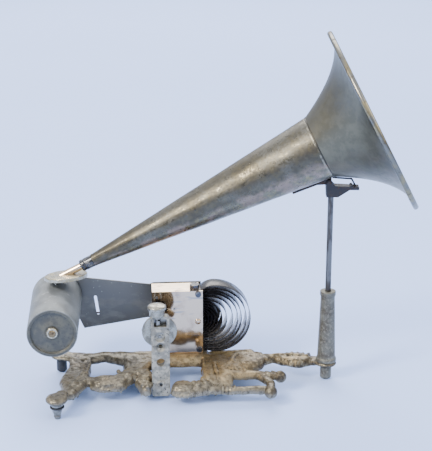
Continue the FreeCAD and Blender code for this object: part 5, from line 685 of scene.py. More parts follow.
def aged_nickel_plate():
    """Nickel plate on spun brass sheet, gone dull: warm olive grey on the cone, speckled with pale yellow
    where the brass shows through, a dark band along its side that is a painted dark reflection, pinkish
    brown staining below it that is also painted light on that lower side, matt and greyer on the bell with
    its underside lighter as painted light, pits and a soldered seam."""
    finish = Finish("Aged nickel plate on brass", metallic=1.0)
    horn = add_node(finish.tree, "ShaderNodeMapping", {"vector_type": "TEXTURE"},
                    {"Vector": finish.coords, "Location": SEAM * MM,
                     "Rotation": HORN_TURN.to_euler()}).outputs[0]
    down, aside, along = add_node(finish.tree, "ShaderNodeSeparateXYZ", None, {0: horn}).outputs
    on_bell = finish.between(along, -0.5 * MM, 1.5 * MM)
    on_cone = finish.both(1.0, on_bell, way="SUBTRACT")
    across = add_node(finish.tree, "ShaderNodeCombineXYZ", None, {0: down, 1: aside}).outputs[0]
    reach = add_node(finish.tree, "ShaderNodeVectorMath", {"operation": "LENGTH"},
                     {0: across}).outputs["Value"]
    under = finish.both(down, reach, way="DIVIDE")
    # Painted dark reflection, not tarnish: a dark band along the middle of the horn's side, stronger on the
    # cone
    tarnish = (finish.between(under, -0.35, -0.05), finish.between(under, 0.50, 0.15),
               finish.between(on_cone, 0, 1, 0.15, 0.75))
    mottle = finish.flecks(7, 0.40, 0.60, detail=7, coords=horn, stretch=(1, 1, 0.6))
    fine = finish.flecks(2.4, 0.42, 0.60, detail=6, coords=horn)
    yellow = (finish.flecks(4, 0.47, 0.60, detail=7, coords=horn), finish.between(on_cone, 0, 1, 0.25, 0.75))
    # Pinkish brown stains, held to the lower side and lighter than the plate there: partly real staining,
    # partly painted light on that side
    stains_and_painted_light = (finish.flecks(15, 0.44, 0.58, detail=7), finish.between(under, 0.0, 0.45),
              finish.between(on_cone, 0, 1, 0.12, 0.7))
    pits = finish.both(finish.flecks(1.7, 0.60, 0.68, detail=3), finish.between(on_cone, 0, 1))
    grain = finish.flecks(10, 0.42, 0.60, detail=8, rough=0.7)
    # Painted light: the bell's underside made lighter
    low = finish.between(down, 0.022, 0.050)
    solder = (finish.between(along, -0.7 * MM, -0.4 * MM), finish.between(along, 0.6 * MM, 0.2 * MM))
    drops = (finish.between(along, -2.6 * MM, -1.9 * MM), finish.between(along, -0.6 * MM, -1.0 * MM),
             finish.flecks(6, 0.42, 0.6, detail=3, coords=horn))
    # Painted light in these layers: #A89F8E lightens the bell's underside, #453F35 is a painted dark
    # reflection along the side, and #9C877A below it is partly stain and partly painted light
    finish.colours("#827C69", ("#716B5B", mottle), ("#A0946A", *yellow, 0.6), ("#76715E", on_bell),
                   ("#5F5B4C", grain, on_bell, 0.55), ("#A89F8E", low, on_bell, 0.85), ("#453F35", *tarnish),
                   ("#69665C", finish.flecks(38, 0.42, 0.66), finish.between(fine, 0, 1, 0.45, 0.95)),
                   ("#9C877A", *stains_and_painted_light), ("#4E483F", pits, 0.6), ("#4A463C", *solder, 0.85),
                   ("#A8A28F", *drops, 0.5))
    matt = finish.both(on_bell, 0.8)
    finish.gloss(finish.both(finish.both(mottle, fine, way="ADD"), matt, way="MAXIMUM"), 0.27, 0.44)
    finish.relief((finish.flecks(30, 0.3, 0.7, detail=2), 0.30), (finish.both(fine, on_cone), 0.010),
                  (pits, -0.05))


def blued_spring_steel():
    """Hardened spring ribbon: grey and plum inside its turns, with painted shade that makes its outward faces
    and front edges nearly black.
    """
    finish = Finish("Blued spring steel", metallic=0.75)
    oil = finish.flecks(9, 0.42, 0.65)
    plum = finish.flecks(15, 0.48, 0.64, detail=3)
    behind = add_node(finish.tree, "ShaderNodeSeparateXYZ", None, {0: finish.coords}).outputs[1]
    # Painted shade: the front edges darkened to stand for the shadowed gaps between the turns
    edges = finish.between(behind, (SPRING_FRONT + 1.0) * MM, (SPRING_FRONT + 0.5) * MM)
    core = finish.between(finish.from_arbor(), 0.021, 0.012)
    # Painted shade: the faces turned away from the arbor are darkened
    normal = add_node(finish.tree, "ShaderNodeNewGeometry").outputs["Normal"]
    from_middle = add_node(finish.tree, "ShaderNodeVectorMath", {"operation": "SUBTRACT"},
                           {0: finish.coords, 1: ARBOR * MM}).outputs[0]
    outward = add_node(finish.tree, "ShaderNodeVectorMath", {"operation": "DOT_PRODUCT"},
                       {0: normal, 1: from_middle}).outputs["Value"]
    # 1F1C1B and #1E1B1B are painted shade on the outward faces and on the front edges
    finish.colours("#BDB6AC", ("#958D84", oil), ("#9E8E8A", plum, 0.5), ("#5E5652", core),
                   ("#1F1C1B", finish.between(outward, 0.002, 0.006), 0.9), ("#1E1B1B", edges))
    finish.gloss(oil, 0.22, 0.4).relief((oil, 0.008))


def blackened_wheel():
    """Brass wheel coloured nearly black, its teeth pale."""
    finish = Finish("Oil-blackened clock brass", metallic=0.8)
    grime = finish.flecks(3, 0.42, 0.62, detail=5)
    teeth = finish.between(finish.from_arbor(), GREAT_ROOT * MM, (GREAT_ROOT + 0.3) * MM)
    finish.colours("#3A3530", ("#4C453A", grime), ("#E6E2D4", teeth))
    finish.gloss(grime, 0.35, 0.6).relief((grime, 0.02))


def bronze_painted_casting():
    """Bronze-powder paint over a grey sand casting: golden brown in the middle, darker on the right and
    rubbed to grey at both ends, dirt in flecks, painted shade in the hollows and pale bare metal along the
    lower front edges."""
    finish = Finish("Worn bronze paint on sand casting", metallic=0.6)
    x, y, z = add_node(finish.tree, "ShaderNodeSeparateXYZ", None, {0: finish.coords}).outputs
    behind = finish.between(y, -0.040, -0.014)
    kept = finish.between(finish.flecks(11, 0.34, 0.56, detail=7), 0, 1, 0.45, 1)
    golden = finish.both(finish.between(x, -0.078, -0.036), finish.between(x, 0.098, 0.064), behind, kept)
    rightward = finish.between(x, 0.012, 0.040)
    ochre = (finish.flecks(16, 0.52, 0.64, detail=6), finish.between(behind, 0, 1, 0.25, 0.7))
    light = finish.flecks(14, 0.46, 0.62, detail=6)
    rubbed = finish.flecks(3.2, 0.50, 0.60, detail=7)
    dirt = finish.flecks(5, 0.50, 0.60, detail=7)
    grime = finish.flecks(1.5, 0.56, 0.64)
    flakes = (finish.between(z, 0.0145, 0.0105), finish.between(y, -0.014, -0.022),
              finish.flecks(2.2, 0.40, 0.50))
    hollows = add_node(finish.tree, "ShaderNodeNewGeometry").outputs["Pointiness"]
    # Painted shade: the hollows darkened
    deep = finish.between(hollows, 0.492, 0.462)
    proud = finish.between(hollows, 0.512, 0.545)
    # 322C22 on the hollows is painted shade
    finish.colours("#746B59", ("#8A826D", rubbed, 0.75), ("#79684A", *ochre, 0.7), ("#4A4438", dirt, 0.75),
                   ("#8C7753", golden), ("#A48F66", golden, light), ("#66553A", golden, dirt, 0.6),
                   ("#544937", rightward, finish.between(light, 0, 1, 0.85, 0.45)),
                   ("#8F8872", rightward, rubbed, 0.45), ("#3A3226", rightward, dirt, 0.7),
                   ("#AEA998", *flakes, 0.4), ("#968E78", proud, 0.2), ("#322C22", deep, 0.9),
                   ("#2F2A22", grime, 0.6))
    finish.gloss(dirt, 0.28, 0.55).relief((finish.flecks(3.4, 0.35, 0.66), 0.16),
                                          (finish.flecks(0.9, 0.4, 0.66, detail=3), 0.05), (grime, -0.10))


# Finish and slot that several frame nodes share
BLACK_IRON = ("Rusted black iron", "blackened_steel")
COLUMN_CASTING = ("Speckled brown-grey casting", "grey_casting")
NICKEL = ("Polished nickel plate", "polished_nickel")
IVORY_NICKEL = ("Yellowed nickel plate", "ivory_nickel")
TURNED_STEEL = ("Dull turned steel", "dull_steel")
BLUED_STEEL = ("Worn blued steel", "blued_steel")
SPRING_STEEL = ("Blued spring steel", "blued_spring_steel")
WORN_BRASS = ("Dull worn brass", "worn_brass")
CUT_BRASS = ("Cut clock brass", "train_brass")

# Frame nodes that keep their shape: finish, slot, how far their edges are broken in millimetres
PLAIN_NODES = {
    "feet": (("front_foot_washer", "Moulded black rubber", "blackened_steel", 0.2),
             ("back_left_foot", "Moulded black rubber", "black_rubber", 0.3),
             ("right_foot", *COLUMN_CASTING, 0.5)),
    "column": (("horn_column", *COLUMN_CASTING, 0.5),
               ("support_rod", "Browned steel rod", "dull_steel", 0.15),
               ("cradle_head", *BLACK_IRON, 0.25),
               ("tilt_pin", "Rusted black iron", "blued_steel", 0.15)),
    "horn_fittings": (("horn_bracket", *BLACK_IRON, 0.2), ("horn_wire", *BLACK_IRON, 0.0),
                      ("sound_tube", *NICKEL, 0.1)),
    "sound_box": (("sound_box_shell", *IVORY_NICKEL, 0.25), ("sound_box_ring", *IVORY_NICKEL, 0.1),
                  ("diaphragm_gaskets", "Perished rubber", "gasket_rubber", 0.05),
                  ("diaphragm", "Thin mica disc", "diaphragm_glass", 0.0),
                  ("stylus_bar", *NICKEL, 0.1),
                  ("stylus", "Ground glass", "stylus_glass", 0.0)),
    "motor_frame": (("motor_front_plate", *NICKEL, 0.2),
                    ("back_arm_plate", "Blackened sheet steel", "blackened_steel", 0.2),
                    ("plate_pillars", *TURNED_STEEL, 0.15), ("plate_screws", *BLUED_STEEL, 0.2),
                    ("anchor_screw", *BLUED_STEEL, 0.2), ("spring_anchor_strip", *BLUED_STEEL, 0.1),
                    ("mandrel_bearing", *TURNED_STEEL, 0.2)),
    "mandrel_parts": (("mandrel_shaft", *WORN_BRASS, 0.1), ("mandrel_nut", *IVORY_NICKEL, 0.2),
                      ("mandrel_pulley", *TURNED_STEEL, 0.15)),
    "governor": (("governor_pillar", "Speckled grey casting", "grey_casting", 0.35),
                 ("brake_guide", *TURNED_STEEL, 0.1), ("governor_spindle", *TURNED_STEEL, 0.05),
                 ("governor_collar", *WORN_BRASS, 0.1), ("governor_springs", *SPRING_STEEL, 0.0),
                 ("governor_weights", "Turned white metal", "weight_lead", 0.2),
                 ("governor_disc", "Turned white metal", "polished_nickel", 0.25),
                 ("regulator_cam", *TURNED_STEEL, 0.05), ("brake_plunger", *TURNED_STEEL, 0.05),
                 ("brake_pad", "Brake leather", "pad_leather", 0.1)),
    "train": (("great_wheel", "Oil-blackened clock brass", "train_brass", 0.0),
              ("click_stud", *BLUED_STEEL, 0.1), ("click_spring", *SPRING_STEEL, 0.0),
              ("click", *BLUED_STEEL, 0.1), ("spring_arbor", *NICKEL, 0.15),
              ("ratchet_wheel", *BLUED_STEEL, 0.0), ("winding_key", *TURNED_STEEL, 0.2),
              ("second_arbor", *TURNED_STEEL, 0.0), ("second_wheel", *CUT_BRASS, 0.0),
              ("drive_arbor", *TURNED_STEEL, 0.0), ("drive_wheel", *CUT_BRASS, 0.0),
              ("drive_pulley", *WORN_BRASS, 0.1)),
}


def dress_nodes(group):
    """Dress the frame nodes of one group."""
    for row in PLAIN_NODES[group]:
        broken_edges(*row)


# Sizes, colours and lights that a user may change

class PhonographHornSettings(bpy.types.PropertyGroup):
    cone_length: FloatProperty(name="Cone length", description="Conical part of the horn",
                               default=218 * MM, unit="LENGTH", subtype="DISTANCE")
    cone_small_radius: FloatProperty(name="Small end", description="Outside radius of the cone's small end",
                                     default=5.5 * MM, unit="LENGTH", subtype="DISTANCE")
    seam_radius: FloatProperty(name="Seam radius", description="Outside radius where bell and cone meet",
                               default=27.9 * MM, unit="LENGTH", subtype="DISTANCE")
    bell_depth: FloatProperty(name="Bell depth", description="Bell from the seam to the rim",
                              default=50 * MM, unit="LENGTH", subtype="DISTANCE")
    bell_radius: FloatProperty(name="Rim radius", description="Middle of the wired rim", default=81 * MM,
                               unit="LENGTH", subtype="DISTANCE")
    bead_radius: FloatProperty(name="Rim bead",
                               description="Radius of the wired rim before it is rolled back into an oval",
                               default=1.6 * MM, unit="LENGTH", subtype="DISTANCE")
    wall: FloatProperty(name="Sheet", description="Thickness of the horn's sheet", default=0.8 * MM,
                        unit="LENGTH", subtype="DISTANCE")
    dents: FloatProperty(name="Dents", description="Depth of the dents in the sheet", default=0.25 * MM,
                         unit="LENGTH", subtype="DISTANCE")


class PhonographMotorSettings(bpy.types.PropertyGroup):
    ribbon_width: FloatProperty(name="Ribbon width", description="Width of the mainspring's ribbon",
                                default=16.4 * MM, unit="LENGTH", subtype="DISTANCE")
    ribbon_thick: FloatProperty(name="Ribbon thickness", description="Thickness of that ribbon",
                                default=0.4 * MM, unit="LENGTH", subtype="DISTANCE")
    belt_radius: FloatProperty(name="Belt radius", description="Radius of the round belt",
                               default=0.8 * MM, unit="LENGTH", subtype="DISTANCE")
    mandrel_length: FloatProperty(name="Mandrel length", description="Length of the mandrel", default=85 * MM,
                                  unit="LENGTH", subtype="DISTANCE")


class PhonographStageSettings(bpy.types.PropertyGroup):
    floor_colour: FloatVectorProperty(name="Floor", description="Pale floor", size=4, min=0, max=1,
                                      default=linear("#B9D0FF"), subtype="COLOR")
    sky_colour: FloatVectorProperty(name="Surround", description="Light around the stage", size=4,
                                    min=0, max=1, default=linear("#E0E7F8"), subtype="COLOR")
    sky_strength: FloatProperty(name="Surround strength", description="Strength of that light overhead",
                                default=2.25)
    horizon_share: FloatProperty(name="Horizon", description="Share of that light near the horizon",
                                 default=0.38)
    key_power: FloatProperty(name="Key light", description="Power of the soft light at the left",
                             default=27, unit="POWER")
    fill_power: FloatProperty(name="Fill light", description="Power of the soft light at the right",
                              default=12, unit="POWER")
    rear_power: FloatProperty(name="Rear light", description="Power of the broad light above and behind",
                              default=85, unit="POWER")


# Pieces

# What is turned about an axis, as radius and station in millimetres
SLEEVE_PROFILE = (
    (3.27, -11.9), (4.7, -12), (5.1, -11.8), (5.3, -11.2), (5.3, -9.9), (5.0, -9.6), (4.98, -8.6),
    (5.28, -8.2), (5.34, -7.2), (5.2, -4), (5.34, -1.5), (5.3, -0.4), (5.0, -0.25), (4.6, -0.2), (4.58, 6),
    (3.27, 6))
FOOT_PROFILE = (
    (0, 0), (2.3, 0), (2.6, 0.3), (2.65, 1.5), (3.0, 1.8), (3.05, 2.6), (2.85, 3.0), (3.3, 4.4), (3.9, 6.4),
    (4.5, 8.6), (4.85, 9.4), (4.95, 10.2), (4.6, 10.6), (4.55, 11.0), (4.95, 11.5), (4.98, 13.2), (4.7, 13.5),
    (2.5, 13.5), (2.5, 17.2), (0, 17.2))
KNOB_PROFILE = (
    (2.4, 0), (6.3, 0), (6.6, 0.3), (6.62, 5.2), (6.75, 5.6), (7.7, 5.9), (7.95, 6.2), (7.98, 8.1),
    (7.8, 8.5), (7.2, 8.9), (6.4, 9.3), (3, 9.55), (0, 9.6), (0, 7.1), (2.4, 7.1))
SCREW_PROFILE = (
    (0, -0.1), (1.35, -0.1), (1.45, -1.25), (1.7, -1.4), (2.9, -1.3), (3.25, -1.0), (3.28, 0.0), (2.08, 0.05),
    (2.08, 14.4), (0, 14.4))


def bell_profile(settings, wall):
    """The bell's curve in millimetres, from the seam to a share of the way to the rim, moved in by a wall."""
    depth, rim, seam = settings.bell_depth / MM, settings.bell_radius / MM, settings.seam_radius / MM
    share = 0.962
    bend = Vector((depth * share, seam + (rim - seam) * share / 2))
    end = Vector((depth * (1 - (1 - share) ** 2), seam + (rim - seam) * share))
    start = Vector((0, seam))
    if wall:
        start = Vector((wall * 0.45, seam - wall * 0.9))
        bend += Vector((wall, -wall * 0.6))
        end += Vector((wall, 0))
    steps = 40
    curve = []
    for step in range(steps + 1):
        t = step / steps
        place = (1 - t) ** 2 * start + 2 * t * (1 - t) * bend + t * t * end
        curve.append((place.y, place.x))
    return curve


def dented(bm, depth, seed):
    """Shallow dents in turned sheet, the same on both its sides: a few round it, one every 34 mm along it,
    and finer ones over them."""
    for vert in bm.verts:
        radial = Vector((vert.co.x, vert.co.y, 0)).normalized()
        here = Vector((radial.x * 2.2, radial.y * 2.2, vert.co.z / 34)) + Vector((seed, 0, 0))
        vert.co -= radial * depth * (0.5 + 0.5 * noise.noise(here) + 0.35 * noise.noise(here * 2.7))


class PHONOGRAPH_OT_horn(bpy.types.Operator):
    """Cone, bell and wired rim of the horn"""
    bl_idname = "phonograph.horn"
    bl_label = "Horn"

    def execute(self, context):
        settings = context.scene.phonograph_horn
        small, seam = settings.cone_small_radius / MM, settings.seam_radius / MM
        length, wall, dents = settings.cone_length / MM, settings.wall / MM, settings.dents / MM
        sheet = ("Aged nickel plate on brass", "horn_body", HORN_TURN, "aged_nickel_horn")
        steps = 48
        # A turned-up edge at the small end and a soldered lap at the seam
        outside = [(small + 0.15, -length), (small + 0.2, -length + 0.8), (small + 0.08, -length + 1.4)]
        outside += [(small + (seam - small) * step / steps, -length + length * step / steps)
                    for step in range(1, steps)]
        outside += [(seam - 0.15, -0.9), (seam + 0.25, -0.45), (seam + 0.3, 0.1), (seam + 0.05, 0.35)]
        inside = [(radius - wall, station) for radius, station in
                  ((seam, -0.05), (seam * 0.75 + small * 0.25, -length * 0.25),
                   (seam / 2 + small / 2, -length / 2), (small, -length))]
        cone = turned(outside + inside, 160)
        dented(cone, dents, 3.0)
        new_piece("horn_cone_sheet", cone, *sheet, ("horn_cone",))
        bell = turned(bell_profile(settings, 0) + bell_profile(settings, wall)[::-1], 200)
        dented(bell, dents * 0.8, 11.0)
        new_piece("horn_bell_sheet", bell, *sheet, ("horn_bell",))
        rim, bead, depth = settings.bell_radius / MM, settings.bead_radius / MM, settings.bell_depth / MM
        across, along = 1.15 * bead, 1.45 * bead
        ring = [(rim + bead - across + across * math.cos(math.radians(a)),
                 depth + bead - along + along * math.sin(math.radians(a))) for a in range(0, 360, 18)]
        new_piece("horn_wired_rim", turned(ring, 220), "Rubbed brass", "horn_body", HORN_TURN,
                  "aged_nickel_horn", ("horn_rim_bead",), smooth=60)
        return {"FINISHED"}


class PHONOGRAPH_OT_horn_fittings(bpy.types.Operator):
    """Strap, lug, wire, sleeve and tube of the horn"""
    bl_idname = "phonograph.horn_fittings"
    bl_label = "Horn fittings"

    def execute(self, context):
        dress_nodes("horn_fittings")
        length = context.scene.phonograph_horn.cone_length / MM
        sleeve = turned([(radius, station - length) for radius, station in SLEEVE_PROFILE], 72)
        new_piece("horn_sleeve_ringed", sleeve, "Lacquered black sleeve", "horn_body", HORN_TURN,
                  "black_rubber", ("horn_sleeve",))
        return {"FINISHED"}


class PHONOGRAPH_OT_sound_box(bpy.types.Operator):
    """Sound box with its diaphragm and stylus"""
    bl_idname = "phonograph.sound_box"
    bl_label = "Sound box"

    def execute(self, context):
        dress_nodes("sound_box")
        return {"FINISHED"}


class PHONOGRAPH_OT_column(bpy.types.Operator):
    """Horn column, rod, cradle and tilt pin"""
    bl_idname = "phonograph.column"
    bl_label = "Column and cradle"

    def execute(self, context):
        dress_nodes("column")
        return {"FINISHED"}


class PHONOGRAPH_OT_casting(bpy.types.Operator):
    """Openwork base casting with its worn bronze paint"""
    bl_idname = "phonograph.casting"
    bl_label = "Base casting"

    def execute(self, context):
        paint, slot = "Worn bronze paint on sand casting", "worn_bronze_paint"
        dress("base_casting_skin", casting_mesh(), paint, "frame", ("base_casting",), smooth=80)
        lugs = bmesh.new()
        for left, right in LUGS:
            for back in (PLATE_FRONT + 3.1, BACK_PLATE_FRONT):
                add_block(lugs, (left, back - 1.6, 12), (right, back, 27.5))
            add_block(lugs, (left, COLUMN.y + 32, 12), (right, BACK_PLATE_FRONT + PLATE_THICK, 19.9))
        bmesh.ops.bevel(lugs, geom=[edge for edge in lugs.edges if edge.calc_face_angle(0) > 0.5], offset=0.4,
                        segments=2, profile=0.5, affect="EDGES", material=-1, clamp_overlap=True)
        new_piece("casting_lugs", lugs, paint, "frame", Matrix.Identity(4), slot)
        return {"FINISHED"}


class PHONOGRAPH_OT_feet(bpy.types.Operator):
    """Three feet and the washer over the front one"""
    bl_idname = "phonograph.feet"
    bl_label = "Feet"

    def execute(self, context):
        dress_nodes("feet")
        new_piece("front_foot_turned", turned(FOOT_PROFILE, 72, closed=False), "Dull turned steel", "frame",
                  Matrix.Translation(FRONT_FOOT), "dull_steel", ("front_left_foot",))
        return {"FINISHED"}


class PHONOGRAPH_OT_motor_frame(bpy.types.Operator):
    """Both plates of the motor with their pillars and screws"""
    bl_idname = "phonograph.motor_frame"
    bl_label = "Motor frame"

    def execute(self, context):
        dress_nodes("motor_frame")
        return {"FINISHED"}


class PHONOGRAPH_OT_mainspring(bpy.types.Operator):
    """Open mainspring, wound as half turns of one ribbon"""
    bl_idname = "phonograph.mainspring"
    bl_label = "Mainspring"

    def execute(self, context):
        settings = context.scene.phonograph_motor
        thick = settings.ribbon_thick / MM
        # Where the ribbon passes right and left of the arbor, turn by turn
        inner = ARBOR_RADIUS + 0.1 + thick / 2
        rights = [inner + 2.8 * turn for turn in range(6)] + [22, 26.1, 31.5, 36, 39.2, 43.5, 47.1]
        lefts = [inner + 0.82 * turn for turn in range(len(rights))]
        bends = []
        for turn, right in enumerate(rights):
            bends += [((right - left) / 2, 0, 180) for left in lefts[turn:turn + 2]]
        # The outer end rises, leans over and comes level under the plate's flange
        outer, rise, small = rights[-1], 32.5, 4.0
        flat = PLATE_TOP - PLATE_THICK - 0.05 - thick / 2 - ARBOR.z
        flange_end = PLATE_LEFT + PLATE_WIDTH - 3 - ARBOR.x - 0.2
        run = outer - rise - flange_end
        bend = 2 * math.atan2(rise - flat, run)
        large = run / math.sin(bend) - small
        bends += [(outer - rise, 0, 90), (outer - rise, rise - large, math.degrees(bend)),
                  (flange_end, flat + small, -math.degrees(bend))]
        bm = bmesh.new()
        front = bm.verts.new((-lefts[0], 0, 0))
        back = bm.verts.new((-lefts[0], settings.ribbon_width / MM, 0))
        tail = [front, back, bm.edges.new((front, back))]
        for x, z, angle in bends:
            tail = bent_on(bm, tail, x, z, angle, max(3, int(abs(angle) / 6)))
        drawn_on(bm, tail, (-9, 0, 0))
        welded(bm, 1e-4)
        turn = Matrix.Translation((ARBOR.x, SPRING_FRONT, ARBOR.z))
        spring = new_piece("mainspring_ribbon", bm, "Blued spring steel", "frame", turn, "blued_spring_steel",
                           ("mainspring",))
        solid = spring.modifiers.new("Ribbon", "SOLIDIFY")
        solid.thickness = settings.ribbon_thick
        solid.offset = 0
        edge = spring.modifiers.new("Rounded edges", "BEVEL")
        edge.width = 0.12 * MM
        edge.segments = 2
        edge.angle_limit = math.radians(50)
        return {"FINISHED"}


class PHONOGRAPH_OT_train(bpy.types.Operator):
    """Wheels, arbors, ratchet, click and key"""
    bl_idname = "phonograph.train"
    bl_label = "Wheel train"

    def execute(self, context):
        dress_nodes("train")
        return {"FINISHED"}


class PHONOGRAPH_OT_governor(bpy.types.Operator):
    """Governor, its pillar, and the regulator with its brake"""
    bl_idname = "phonograph.governor"
    bl_label = "Governor and regulator"

    def execute(self, context):
        dress_nodes("governor")
        new_piece("regulator_knob_turned", turned(KNOB_PROFILE, 80), "Turned white metal", "regulator_body",
                  Matrix.Translation(KNOB), "dull_steel", ("regulator_knob",))
        plug = turned(SCREW_PROFILE, 56, closed=False)
        # Painted shade: the inside of the socket takes the black rubber finish, standing for the shade in the
        # hole
        mark_faces(plug, lambda radius, station: radius < 1.42 and station < 1)
        piece = new_piece("pillar_screw_socket", plug, "Speckled grey casting", "frame",
                          Matrix.Translation(PILLAR_SCREW) @ BACKWARDS, "blued_steel", ("pillar_screw",))
        piece.data.materials.append(bpy.data.materials["Moulded black rubber"])
        return {"FINISHED"}


class PHONOGRAPH_OT_mandrel(bpy.types.Operator):
    """Mandrel that carries the record, and what it turns on"""
    bl_idname = "phonograph.mandrel"
    bl_label = "Mandrel"

    def execute(self, context):
        length = context.scene.phonograph_motor.mandrel_length / MM
        front, back, wall = 21.3, 22.3, 2.4
        profile = [(front - 0.7, 0), (front - 0.2, 0.15), (front, 0.6), (front + 0.02, 2.2),
                   (front - 0.12, 2.5), (front + 0.04, 2.8)]
        profile += [(front + (back - front) * step / 8, length * step / 8) for step in range(1, 8)]
        profile += [(back, length - 0.6), (back - 0.5, length), (back - wall, length), (front - wall, 5.2),
                    (8.4, 5.2), (8.4, 14.2), (3.05, 14.2), (3.05, 2.2), (6.2, 2.2), (6.6, 2.0), (7.4, 2.0),
                    (7.8, 2.2), (front - 3.3, 2.2), (front - 3.0, 1.9), (front - 3.0, 0.3), (front - 2.7, 0)]
        body = turned(profile, 128)
        mark_faces(body, lambda radius, station: radius < front - 1 and station < 2.4)
        piece = new_piece("mandrel_cylinder", body, "Oxidised cast zinc", "mandrel_body",
                          Matrix.Translation(MANDREL) @ BACKWARDS, "mandrel_zinc", ("mandrel",))
        piece.data.materials.append(bpy.data.materials["Oiled cast zinc"])
        dress_nodes("mandrel_parts")
        return {"FINISHED"}


class PHONOGRAPH_OT_belt(bpy.types.Operator):
    """Round leather belt between the two pulleys"""
    bl_idname = "phonograph.belt"
    bl_label = "Belt"

    def execute(self, context):
        run = Vector((DRIVE.x - MANDREL.x, 0, DRIVE.z - MANDREL.z))
        heading = math.atan2(run.z, run.x)
        lean = math.acos((BIG_PULLEY - SMALL_PULLEY) / run.length)
        wrap = 2 * math.degrees(lean)
        high, low = (Vector((math.cos(heading + side * lean), 0, math.sin(heading + side * lean)))
                     for side in (1, -1))
        bm = bmesh.new()
        radius = context.scene.phonograph_motor.belt_radius / MM
        circle = bmesh.ops.create_circle(bm, cap_ends=False, radius=radius, segments=10)["verts"]
        facing = Vector((-high.z, 0, high.x)).to_track_quat("Z", "Y").to_matrix().to_4x4()
        bmesh.ops.transform(bm, matrix=Matrix.Translation(BIG_PULLEY * high) @ facing, verts=circle)
        tail = circle + list({edge for vert in circle for edge in vert.link_edges})
        tail = bent_on(bm, tail, 0, 0, 360 - wrap, 40)
        tail = drawn_on(bm, tail, run + (SMALL_PULLEY - BIG_PULLEY) * low)
        tail = bent_on(bm, tail, run.x, run.z, wrap, 20)
        drawn_on(bm, tail, (BIG_PULLEY - SMALL_PULLEY) * high - run)
        welded(bm, 0.02)
        turn = Matrix.Translation((MANDREL.x, DRIVE.y, MANDREL.z))
        new_piece("belt_leather_cord", bm, "Round leather belting", "frame", turn, "belt_leather",
                  ("drive_belt",), smooth=60)
        return {"FINISHED"}


class PHONOGRAPH_OT_finishes(bpy.types.Operator):
    """Materials of all pieces"""
    bl_idname = "phonograph.finishes"
    bl_label = "Finishes"

    def execute(self, context):
        for make in (aged_nickel_plate, blued_spring_steel, blackened_wheel, bronze_painted_casting):
            make()
        for row in FLECKED:
            flecked(*row)
        return {"FINISHED"}


def aimed(thing, place, aim):
    """Put a lamp or the camera in place, pointing at its aim."""
    thing.location = place
    thing.rotation_euler = (aim - thing.location).to_track_quat("-Z", "Y").to_euler()


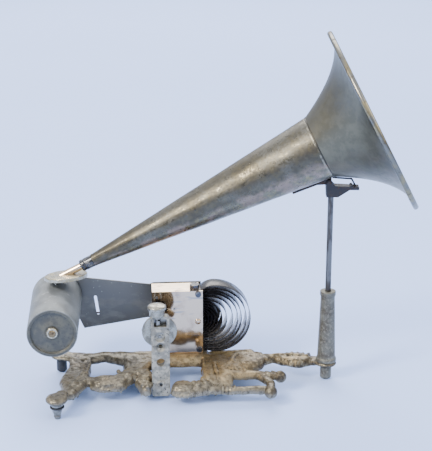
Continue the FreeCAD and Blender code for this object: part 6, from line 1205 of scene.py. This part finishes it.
class PHONOGRAPH_OT_stage(bpy.types.Operator):
    """Pale floor, soft lights and the camera"""
    bl_idname = "phonograph.stage"
    bl_label = "Stage"

    def execute(self, context):
        scene = context.scene
        settings = scene.phonograph_stage
        paper = Finish("Matt backdrop paper", roughness=0.9)
        pale = settings.floor_colour[:]
        shade = add_node(paper.tree, "ShaderNodeMix", {"data_type": "RGBA"},
                         {0: paper.flecks(900, 0.3, 0.7, detail=1), 6: pale,
                          7: [0.97 * channel for channel in pale[:3]] + [1]})
        paper.tree.links.new(shade.outputs[2], paper.shader.inputs["Base Color"])
        bm = bmesh.new()
        bmesh.ops.create_grid(bm, x_segments=8, y_segments=8, size=9)
        floor = linked("floor", mesh_from(bm, "floor"))
        floor.data.materials.append(paper.material)
        floor.location.z = -0.2 * MM
        world = bpy.data.worlds.new("Studio surround")
        world.use_nodes = True
        tree = world.node_tree
        background = next(node for node in tree.nodes if node.type == "BACKGROUND")
        background.inputs["Color"].default_value = settings.sky_colour
        heading = add_node(tree, "ShaderNodeTexCoord").outputs["Generated"]
        height = add_node(tree, "ShaderNodeSeparateXYZ", None, {0: heading}).outputs[2]
        strength = add_node(tree, "ShaderNodeMapRange", {"interpolation_type": "SMOOTHSTEP"},
                            {"Value": height, "From Min": 0.02, "From Max": 0.6,
                             "To Min": settings.sky_strength * settings.horizon_share,
                             "To Max": settings.sky_strength}).outputs[0]
        tree.links.new(strength, background.inputs["Strength"])
        scene.world = world
        powers = (settings.key_power, settings.fill_power, settings.rear_power)
        for (name, place, size, tone), watts in zip(LAMPS, powers):
            data = bpy.data.lights.new(name, "AREA")
            data.shape = "DISK"
            data.size = size
            data.energy = watts
            data.color = tone
            aimed(linked(name, data), Vector(place), LIGHT_AIM)
        data = bpy.data.cameras.new("Camera")
        data.lens = CAMERA_LENS
        data.sensor_width = 36
        data.clip_start = 0.05
        scene.camera = linked("Camera", data)
        aimed(scene.camera, CAMERA * MM, CAMERA_AIM * MM)
        return {"FINISHED"}


OPERATORS = (PHONOGRAPH_OT_finishes, PHONOGRAPH_OT_casting, PHONOGRAPH_OT_feet, PHONOGRAPH_OT_column,
             PHONOGRAPH_OT_horn, PHONOGRAPH_OT_horn_fittings, PHONOGRAPH_OT_sound_box,
             PHONOGRAPH_OT_motor_frame, PHONOGRAPH_OT_mainspring, PHONOGRAPH_OT_train, PHONOGRAPH_OT_governor,
             PHONOGRAPH_OT_mandrel, PHONOGRAPH_OT_belt, PHONOGRAPH_OT_stage)
SETTINGS = {"phonograph_horn": PhonographHornSettings, "phonograph_motor": PhonographMotorSettings,
            "phonograph_stage": PhonographStageSettings}


class PHONOGRAPH_PT_panel(bpy.types.Panel):
    bl_idname = "PHONOGRAPH_PT_panel"
    bl_label = "Horn phonograph"
    bl_space_type = "VIEW_3D"
    bl_region_type = "UI"
    bl_category = "Phonograph"

    def draw(self, context):
        for operator in OPERATORS:
            self.layout.operator(operator.bl_idname)
        for group in SETTINGS:
            settings = getattr(context.scene, group)
            for name in settings.__annotations__:
                self.layout.prop(settings, name)


CLASSES = (*SETTINGS.values(), *OPERATORS, PHONOGRAPH_PT_panel)


def register():
    for part in CLASSES:
        bpy.utils.register_class(part)
    for group, part in SETTINGS.items():
        setattr(bpy.types.Scene, group, PointerProperty(type=part))


def unregister():
    for group in SETTINGS:
        delattr(bpy.types.Scene, group)
    for part in reversed(CLASSES):
        bpy.utils.unregister_class(part)


def main():
    register()
    for operator in OPERATORS:
        group, name = operator.bl_idname.split(".")
        getattr(getattr(bpy.ops, group), name)()


if __name__ == "__main__":
    main()
